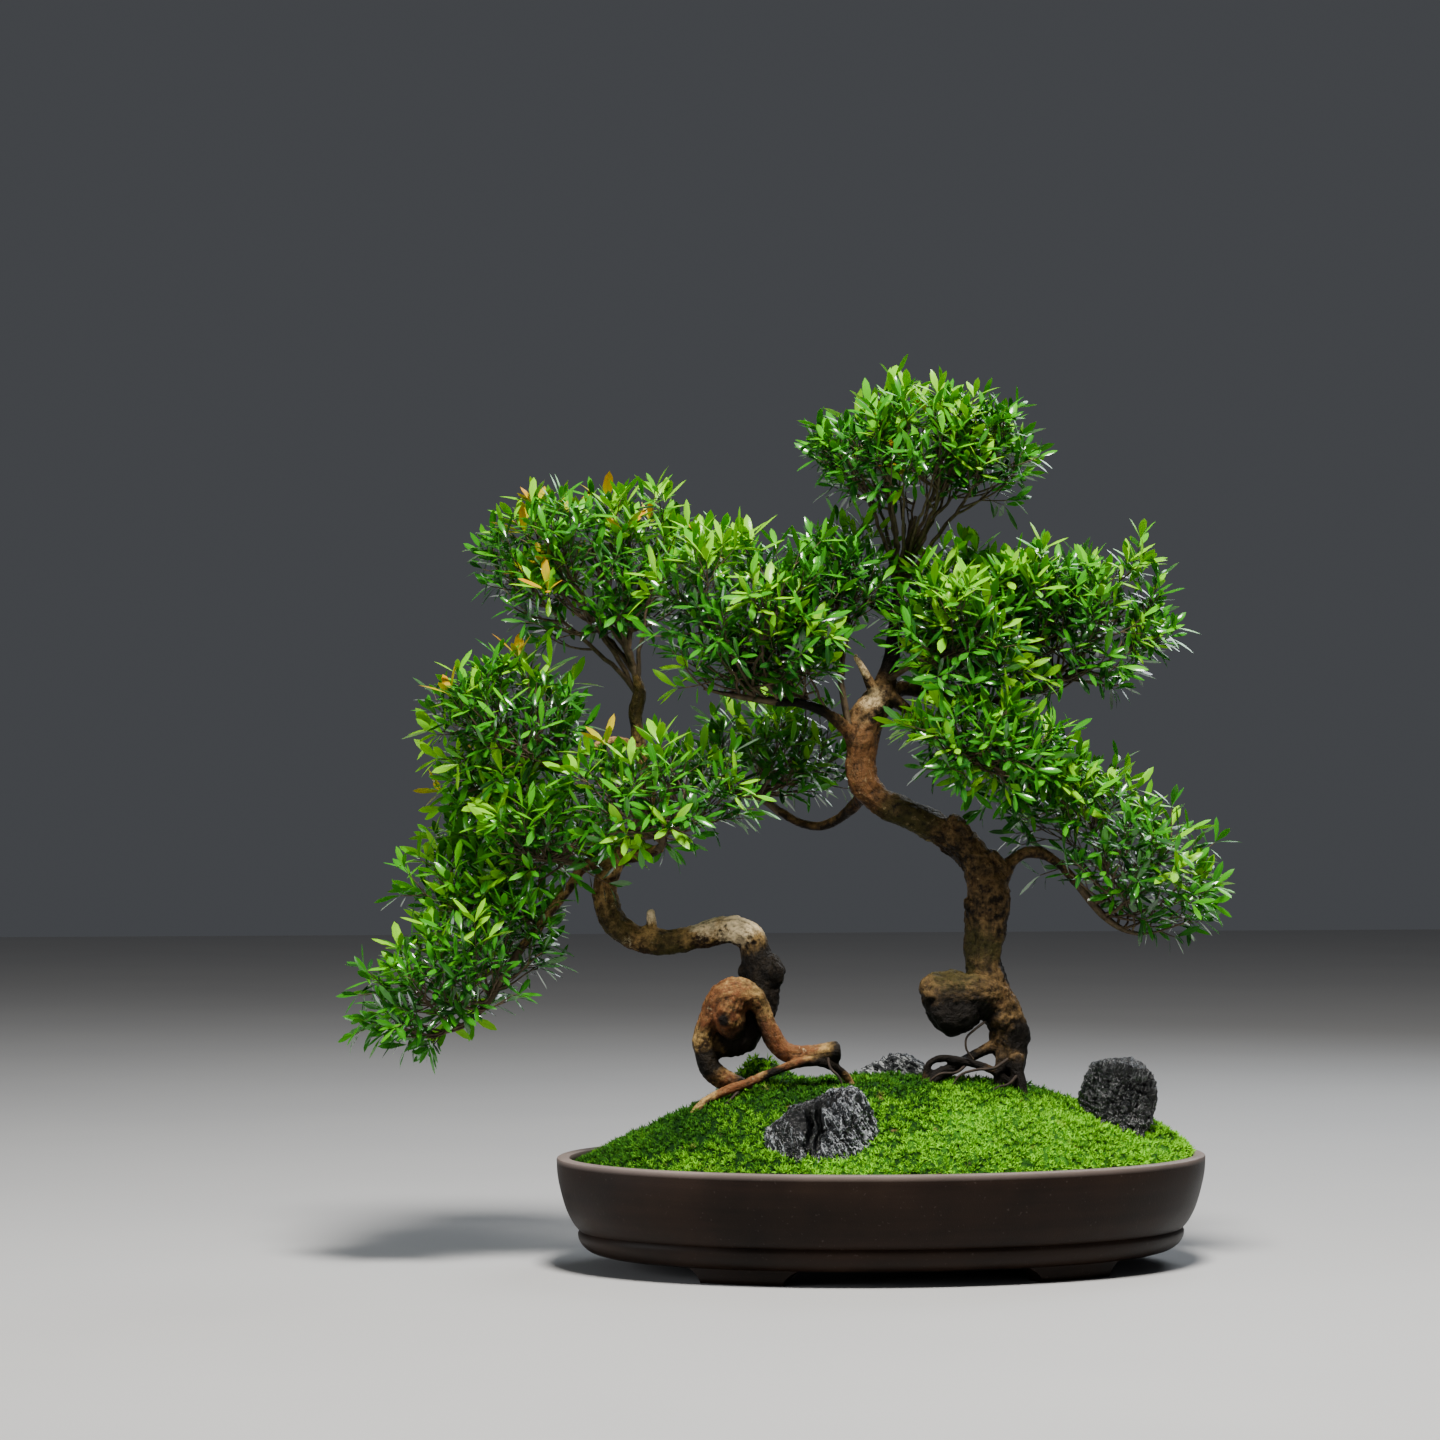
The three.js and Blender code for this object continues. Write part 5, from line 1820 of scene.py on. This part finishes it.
FINE_ROOTS: tuple[tuple[Station, ...], ...] = (
    ((72, -12, 172, 1.0), (64, -16, 166, 0.9), (59, -18, 161, 0.8), (59, -18, 153, 0.8), (64, -18, 146, 0.7)),
    ((88, -14, 146, 1.3), (78, -20, 140, 1.1), (66, -22, 139, 1.0), (54, -24, 135, 0.9), (47, -26, 124, 0.8)),
    ((94, -16, 134, 1.2), (88, -24, 129, 1.0), (80, -28, 127, 0.9), (72, -30, 120, 0.8)),
    ((60, -12, 143, 1.2), (52, -20, 137, 1.0), (40, -24, 136, 0.9), (31, -24, 128, 0.8), (27, -25, 118, 0.7)),
    ((-38, -34, 150, 1.2), (-36, -38, 141, 1.0), (-30, -40, 135, 0.9), (-26, -40, 124, 0.8)),
    ((-96, -44, 129, 1.3), (-104, -50, 121, 1.0), (-112, -54, 112, 0.9)),
)

SPRAYS: tuple[Spray, ...] = (
    Spray(
        "left_crown_spray", (-206, 14, 494), (85, 60, 59),
        ((-172, 4, 400, 4.4), (-174, 6, 416, 4.0), (-182, 10, 436, 3.2), (-190, 12, 456, 2.6)),
        shoots=100, seed=11, leaders=0.42, bronze=0.75, fork=(0.0, 0.8), lowest=-0.92,
    ),
    Spray(
        "left_upper_spray", (-262, -24, 384), (60, 46, 50),
        ((-209, -18, 359, 2.9), (-228, -22, 352, 2.6), (-246, -24, 354, 2.4)),
        shoots=51, seed=12, bronze=0.25,
    ),
    Spray(
        "left_middle_spray", (-160, -56, 331), (70, 44, 46),
        ((-157, -34, 293, 3.5), (-152, -46, 298, 3.2), (-154, -54, 310, 2.8)),
        shoots=51, seed=13, bronze=0.2, habit=Habit.SPREAD,
    ),
    Spray(
        "left_back_spray", (-268, 22, 299), (50, 40, 40),
        ((-221, 6, 292, 3), (-240, 16, 288, 2.6), (-256, 20, 286, 2.2)),
        shoots=39, seed=14, young=0.7,
    ),
    Spray(
        "left_cascade_spray", (-296, -28, 213), (85, 48, 46),
        (
            (-250, -28, 228, 3), (-263, -30, 207, 2.8), (-275, -30, 187, 2.6), (-290, -30, 172, 2.4),
            (-306, -30, 166, 2),
        ),
        shoots=76, seed=15, tilt=30.0, habit=Habit.WEEP, lowest=-0.95,
    ),
    Spray(
        "upper_link", (-282, -6, 342), (36, 34, 34),
        ((-244, -24, 354, 2.2), (-258, -16, 346, 1.8), (-270, -10, 340, 1.4)),
        shoots=24, seed=27, young=0.8, bronze=0.5,
    ),
    Spray(
        "cascade_link", (-288, -10, 262), (48, 36, 36),
        ((-240, -26, 239, 2.4), (-256, -20, 246, 2.0), (-270, -14, 252, 1.6)),
        shoots=25, seed=28, young=0.7, habit=Habit.SPREAD,
    ),
    Spray(
        "left_link", (-236, -34, 302), (46, 34, 48),
        ((-206, -19, 282, 2.6), (-216, -27, 284, 2.2), (-226, -32, 286, 2)),
        shoots=34, seed=24, young=0.6,
    ),
    Spray(
        "right_apex_spray", (30, 8, 573), (84, 62, 45),
        ((11, 6, 464, 4.0), (12, 6, 480, 3.2), (16, 7, 502, 2.8), (24, 8, 528, 2.2)),
        shoots=110, seed=16, bronze=0.12, fork=(0.0, 0.55), lowest=-0.7,
    ),
    Spray(
        "right_left_spray", (-94, -50, 461), (74, 46, 60),
        ((-71, -39, 396, 3.0), (-88, -44, 398, 2.6), (-106, -48, 401, 2.2), (-124, -50, 405, 1.4)),
        shoots=75, seed=17, bronze=0.1, fork=(0.0, 0.9), lowest=-0.95,
    ),
    Spray(
        "right_inner_spray", (-31, -6, 485), (40, 40, 40),
        ((-23, -12, 377, 2.6), (-28, -12, 405, 2.4), (-32, -9, 436, 2.2), (-32, -6, 466, 1.8)),
        shoots=33, seed=18, fork=(0.2, 0.95), lowest=-0.8,
    ),
    Spray(
        "branch_link", (-76, -34, 428), (44, 34, 42),
        ((-34, -19, 384, 2.6), (-48, -27, 394, 2.4), (-60, -32, 404, 2.0), (-68, -34, 416, 1.6)),
        shoots=36, seed=29, young=0.3, fork=(0.0, 0.9), lowest=-0.9,
    ),
    Spray(
        "top_link", (52, -36, 438), (46, 32, 46),
        ((4, -4, 412, 2.6), (14, -16, 418, 2.4), (24, -26, 424, 2.0), (32, -32, 430, 1.6)),
        shoots=38, seed=30, young=0.5, fork=(0.1, 0.95), lowest=-0.95,
    ),
    Spray(
        "right_shoulder_spray", (62, 10, 450), (56, 50, 62),
        ((58, 17, 398, 3.2), (62, 14, 408, 3), (66, 12, 422, 2.6)),
        shoots=57, seed=19,
    ),
    Spray(
        "right_outer_spray", (149, 24, 450), (60, 48, 62),
        ((100, 26, 403, 3.1), (118, 26, 408, 2.9), (136, 25, 418, 2.6)),
        shoots=60, seed=20,
    ),
    Spray(
        "right_back_spray", (-80, 66, 359), (60, 42, 44),
        ((-72, 64, 317, 3), (-86, 65, 327, 2.8), (-104, 66, 331, 2.4), (-116, 66, 334, 2)),
        shoots=48, seed=21, habit=Habit.SPREAD,
    ),
    Spray(
        "right_low_spray", (162, 12, 296), (92, 52, 52),
        ((136, 9, 270.5, 3), (156, 12, 246, 3), (170, 14, 236, 2.6), (184, 15, 232, 2.2)),
        shoots=73, seed=22, tilt=-36.0, habit=Habit.SPREAD,
    ),
    Spray(
        "right_link", (104, -14, 346), (46, 34, 36),
        ((72, -40, 354, 2.2), (84, -32, 348, 2), (94, -22, 344, 1.8)),
        shoots=36, seed=25, habit=Habit.SPREAD,
    ),
    Spray(
        "shoulder_link", (106, 16, 462), (40, 40, 50),
        ((90, 23, 400, 2.4), (98, 20, 414, 2.2), (104, 18, 430, 2)),
        shoots=34, seed=26,
    ),
    Spray(
        "right_under_spray", (70, -42, 368), (58, 38, 36),
        ((48, -32, 361, 2.8), (58, -36, 354, 2.6), (68, -40, 352, 2.2)),
        shoots=42, seed=23, habit=Habit.SPREAD,
    ),
)


@dataclass(frozen=True)
class Lamp:
    """A soft round light that faces the object."""

    name: str
    at: Point
    size: float  # metres across
    power: float  # watts
    colour: Colour

    def build(self, place: Matrix, middle: Vector) -> None:
        """Makes the light.

        Args:
            place: What takes the planting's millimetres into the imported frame.
            middle: What it faces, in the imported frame.
        """
        lamp = bpy.data.lights.new(self.name, "AREA")
        lamp.shape, lamp.size, lamp.energy, lamp.color = "DISK", self.size, self.power, self.colour
        add_object(self.name, lamp).matrix_world = aim(place @ Vector(self.at), middle)


@dataclass(frozen=True)
class Studio:
    """The camera at the photograph's angle, soft lights and a pale floor."""

    eye: Point = (0.0, -3200.0, 357.0)
    target: Point = (-114.3, 0.0, 383.8)
    lens: float = 113.4
    sensor: float = 36.0
    far_end: float = 20.0  # metres that the camera sees
    middle: Point = (-40.0, 0.0, 300.0)  # what the lamps face
    lamps: tuple[Lamp, ...] = (
        Lamp("key", (130.0, -980.0, 2150.0), 0.55, 135.0, (1.0, 0.97, 0.91)),
        Lamp("fill", (-2100.0, -700.0, 350.0), 1.3, 22.0, (0.95, 0.97, 1.0)),
        Lamp("rim", (800.0, 1500.0, 1500.0), 1.3, 22.0, (0.88, 0.94, 1.0)),
    )
    sky: Colour = (0.78, 0.82, 0.90)
    sky_strength: float = 0.08
    floor_half: float = 6.0  # metres
    floor_tones: tuple[Colour, Colour] = ((0.40, 0.40, 0.41), (0.44, 0.44, 0.44))

    def build(self, place: Matrix) -> None:
        """Makes the camera, the lights and the floor.

        Args:
            place: What takes the planting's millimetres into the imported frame.
        """
        camera = add_object("camera", bpy.data.cameras.new("camera"))
        camera.data.lens, camera.data.sensor_width = self.lens, self.sensor
        camera.data.clip_end = self.far_end
        camera.matrix_world = aim(place @ Vector(self.eye), place @ Vector(self.target))
        bpy.context.scene.camera = camera
        for lamp in self.lamps:
            lamp.build(place, place @ Vector(self.middle))
        self._floor()
        world = bpy.data.worlds.new("studio")
        world.use_nodes = True
        background = world.node_tree.nodes["Background"]
        background.inputs["Color"].default_value = (*self.sky, 1.0)
        background.inputs["Strength"].default_value = self.sky_strength
        bpy.context.scene.world = world

    def _floor(self) -> None:
        """Adds the floor, one wide sheet that the feet stand on."""
        half = self.floor_half
        corners = [(-half, -half, 0.0), (half, -half, 0.0), (half, half, 0.0), (-half, half, 0.0)]
        floor = Shape(points=corners, faces=[(0, 1, 2, 3)]).build("floor")
        paint = Paint("pale_floor", Roughness=0.8)
        tone = paint.noise(paint.place(), 3.0, 2.0)
        paint.feed(paint.shader.inputs["Base Color"], paint.mix(tone, *self.floor_tones))
        floor.data.materials.append(paint.material)


@dataclass(frozen=True)
class Planting:
    """The whole object: the pot, the moss, the stones, both trees and their sprays."""

    oval: Oval = Oval(230.0, 165.0)
    hummocks: tuple[Hummock, ...] = (
        Hummock(-84.9, 25.1, 23.0, 21.0, painted_brightening=1.2),
        Hummock(-118.0, -18.0, 8.0, 42.0),
        Hummock(188.0, -12.0, 6.0, 32.0),
        Hummock(70.0, -60.0, 3.0, 40.0),
        Hummock(96.0, 4.0, 4.0, 26.0),
    )

    def build(self, frame: dict[str, object], place: Matrix, seat: Matrix) -> None:
        """Makes every piece, and dresses the nodes that stay.

        Args:
            frame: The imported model.
            place: What takes the planting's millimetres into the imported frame.
            seat: The same without the planting's turn.
        """
        ClayPot(self.oval).build(UnglazedClay().material(), seat)
        MossMound(self.oval, hummocks=self.hummocks).build(MossPile("moss_pile").material(), seat)
        self._dress(frame)
        for rock in self._rocks():
            rock.build(place)
        carve, round_twigs = carving(), twig_recipe()
        for tree in (self._left_tree(), self._right_tree()):
            tree.build(carve, place)
        self._root_hairs(round_twigs, place)
        green, bark = Foliage("leaf_green").material(), TwigBark("twig_bark").material()
        grower = Grower(Leaf().build(), green, bark, round_twigs, leaf_recipe())
        for spray in SPRAYS:
            spray.build(grower, place)
        bpy.data.objects.remove(grower.leaf)

    def _root_hairs(self, round_twigs: Recipe, place: Matrix) -> None:
        """Adds the thin roots that loop out of the moss.

        Args:
            round_twigs: The tree that gives them their section.
            place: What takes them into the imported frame.
        """
        hairs = Shape()
        for stations in FINE_ROOTS:
            add_twig(hairs, smooth_line(stations, 2.5))
        raw = hairs.build("fine_roots_raw")
        finish = TwigBark("root_bark", (0.010, 0.006, 0.004), (0.034, 0.021, 0.012)).material()
        round_twigs.add_to(raw, {"Sides": 8, "Finish": finish})
        register(settle(raw, "fine_roots", place), "bark")

    def _dress(self, frame: dict[str, object]) -> None:
        """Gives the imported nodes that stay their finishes.

        Args:
            frame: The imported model.
        """
        soil = Grit("damp_soil", (0.010, 0.006, 0.004), (0.060, 0.036, 0.022), 420.0, 0.002).material()
        screen = Grit("moulded_screen", (0.008,) * 3, (0.020,) * 3, 900.0, 0.0001).material()
        for node, finish in (("soil", soil), ("left_drain_screen", screen), ("right_drain_screen", screen)):
            mesh = frame["nodes"][node]
            if not mesh.material_slots:
                mesh.data.materials.append(None)
            for slot in mesh.material_slots:
                slot.material = finish

    def _rocks(self) -> tuple[Rock, ...]:
        """The three stones.

        Returns:
            The front, the right and the back one. A flat is the way that it faces and how far out it lies.
        """
        slate = WetRock(
            "slate_front", (0.0015, 0.002, 0.0025), (0.012, 0.014, 0.018), (0.55, 0.58, 0.62), veined=0.66
        )
        black = WetRock(
            "slate_right", (0.001, 0.001, 0.0014), (0.006, 0.007, 0.008), (0.48, 0.49, 0.50),
            slant=-0.3, veined=0.12,
        )
        grey = WetRock(
            "slate_back", (0.006, 0.007, 0.008), (0.045, 0.048, 0.052), (0.55, 0.57, 0.58),
            slant=1.05, veined=1.0,
        )
        return (
            Rock(
                "front_stone",
                (-40, -112, 100),
                (
                    (1, 0, 0.1, 39), (0.88, 0, 0.47, 38.5), (0.25, 0, 0.97, 38), (-0.32, 0, 0.95, 29),
                    (-0.74, 0, 0.67, 33.5), (-1, 0, -0.1, 40), (0, -1, 0.2, 25), (0.1, 0.97, 0.25, 23),
                    (-0.6, -0.78, 0.15, 31), (0.6, -0.8, 0.1, 31), (-0.6, 0.78, 0.1, 30),
                    (0.6, 0.78, 0.2, 30), (0, 0, -1, 30),
                ),
                slate,
                depth=10.0,
                seed=3.0,
                clefts=(
                    Cleft(-51.0, 2.2, 7.0, 68.0, 124.0),
                    Cleft(-43.0, 2.2, 6.0, 88.0, 126.0),
                    Cleft(-60.0, 19.0, 2.5, 108.0, 190.0),
                ),
                ledge_from=-42.0,
            ),
            Rock(
                "right_stone",
                (166, -14, 118),
                (
                    (-1, 0, 0, 29), (-0.91, 0, 0.42, 28.6), (-0.21, 0.1, 0.97, 30), (0.17, -0.1, 0.98, 29.4),
                    (0.8, 0, 0.6, 30.5), (1, 0, 0, 29), (0.91, 0, -0.42, 28), (-0.7, 0, -0.71, 26),
                    (0, -1, 0.1, 24), (0, 1, 0.1, 23), (0.65, -0.76, 0, 28), (-0.65, -0.76, 0.1, 28),
                    (0.6, 0.8, 0.1, 27), (-0.6, 0.8, 0, 27), (0, 0, -1, 31),
                ),
                black,
                grain=(0.075, 0.075, 0.055),
                depth=11.0,
                rough_side=(0.9, -0.3, 0.2),
                seed=11.0,
            ),
            Rock(
                "back_stone",
                (8, 72, 120),
                (
                    (-1, 0, 0.3, 27), (-0.45, 0, 0.89, 22), (0.1, 0, 1, 24.5), (0.6, 0, 0.8, 26.5),
                    (1, 0, 0.2, 26), (0, -1, 0.3, 18), (0, 1, 0.3, 17), (0, 0, -1, 16),
                ),
                grey,
                grain=(0.10, 0.10, 0.06),
                depth=5.0,
                ledges=3.0,
                seed=23.0,
                splits=5,
            ),
        )

    def _left_tree(self) -> WoodyFrame:
        """The low tree's wood.

        Returns:
            Its frame, with weathered and rusty bark, pale on its top partly as a painted highlight.
        """
        finish = Bark(
            "bark_left", (0.003, 0.002, 0.001), (0.024, 0.012, 0.005), (0.400, 0.250, 0.085),
            bare=(0.860, 0.690, 0.410), rust=(0.135, 0.043, 0.015),
        )
        patches = {
            # the bare patches on the low trunk's top are partly pale wood and partly a painted highlight
            "bare": ((-100, -12, 246, 23), (-124, -12, 244, 15), (-162, -15, 247, 9)),
            "rusty": ((-110, -38, 185, 28), (-70, -33, 155, 32), (-100, -46, 129, 18)),
            "mossy": ((-150, -12, 222, 22), (-186, -16, 243, 20), (-170, 2, 394, 26)),
            "dark": (
                (-78, -14, 202, 31), (-98, -22, 165, 26), (-88, -18, 180, 18), (-92, -30, 126, 16),
                (-25, -31, 151, 14), (-122, -36, 146, 13), (-40, -36, 138, 14), (-111, -56, 174, 7),
                (-73, -47, 134, 9), (-50, -45, 138, 10),
            ),
        }
        knots = (Knot((-111, -54, 178), 5.0), Knot((-92, -21, 232), 3.5))
        return WoodyFrame("left_trunk", LEFT_LIMBS, finish, patches, knots)

    def _right_tree(self) -> WoodyFrame:
        """The tall tree's wood.

        Returns:
            Its frame, with dark bark.
        """
        finish = Bark("bark_right", (0.002, 0.0012, 0.0006), (0.010, 0.0055, 0.0024), (0.150, 0.090, 0.034))
        patches = {
            "bare": ((-6, -10, 398, 10), (-16, -16, 424, 12)),
            "rusty": ((-15, -6, 350, 36),),
            "mossy": ((50, -9, 207, 26), (70, 0, 225, 20), (20, 0, 320, 26)),
            "dark": (
                (47, -12, 169, 29), (62, -12, 178, 18), (92, 0, 128, 26), (50, -14, 138, 26),
                (92, 6, 210, 16), (86, 8, 240, 14), (96, 0, 160, 16), (8, 4, 444, 32), (-70, -40, 396, 40),
            ),
        }
        knots = (
            Knot((-11, -15, 383), 5.0), Knot((50, -10, 313), 5.5), Knot((62, -12, 285), 5.0),
            Knot((80, -12, 255), 6.0), Knot((88, -10, 170), 4.5),
        )
        return WoodyFrame("right_trunk", RIGHT_LIMBS, finish, patches, knots)


def main() -> None:
    """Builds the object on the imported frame, and keeps its size."""
    logging.basicConfig(level=logging.INFO, format="%(message)s")
    noise.seed_set(NOISE_SEED)
    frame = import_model()
    low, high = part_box("pot")
    foot = ((low[0] + high[0]) / 2, (low[1] + high[1]) / 2, low[2])
    seat = Matrix.Translation(foot) @ Matrix.Scale(MM, 4)
    place = seat @ Matrix.Rotation(PLANTING_TURN, 4, "Z")
    Studio().build(place)
    Planting().build(frame, place, seat)


if __name__ == "__main__":
    main()
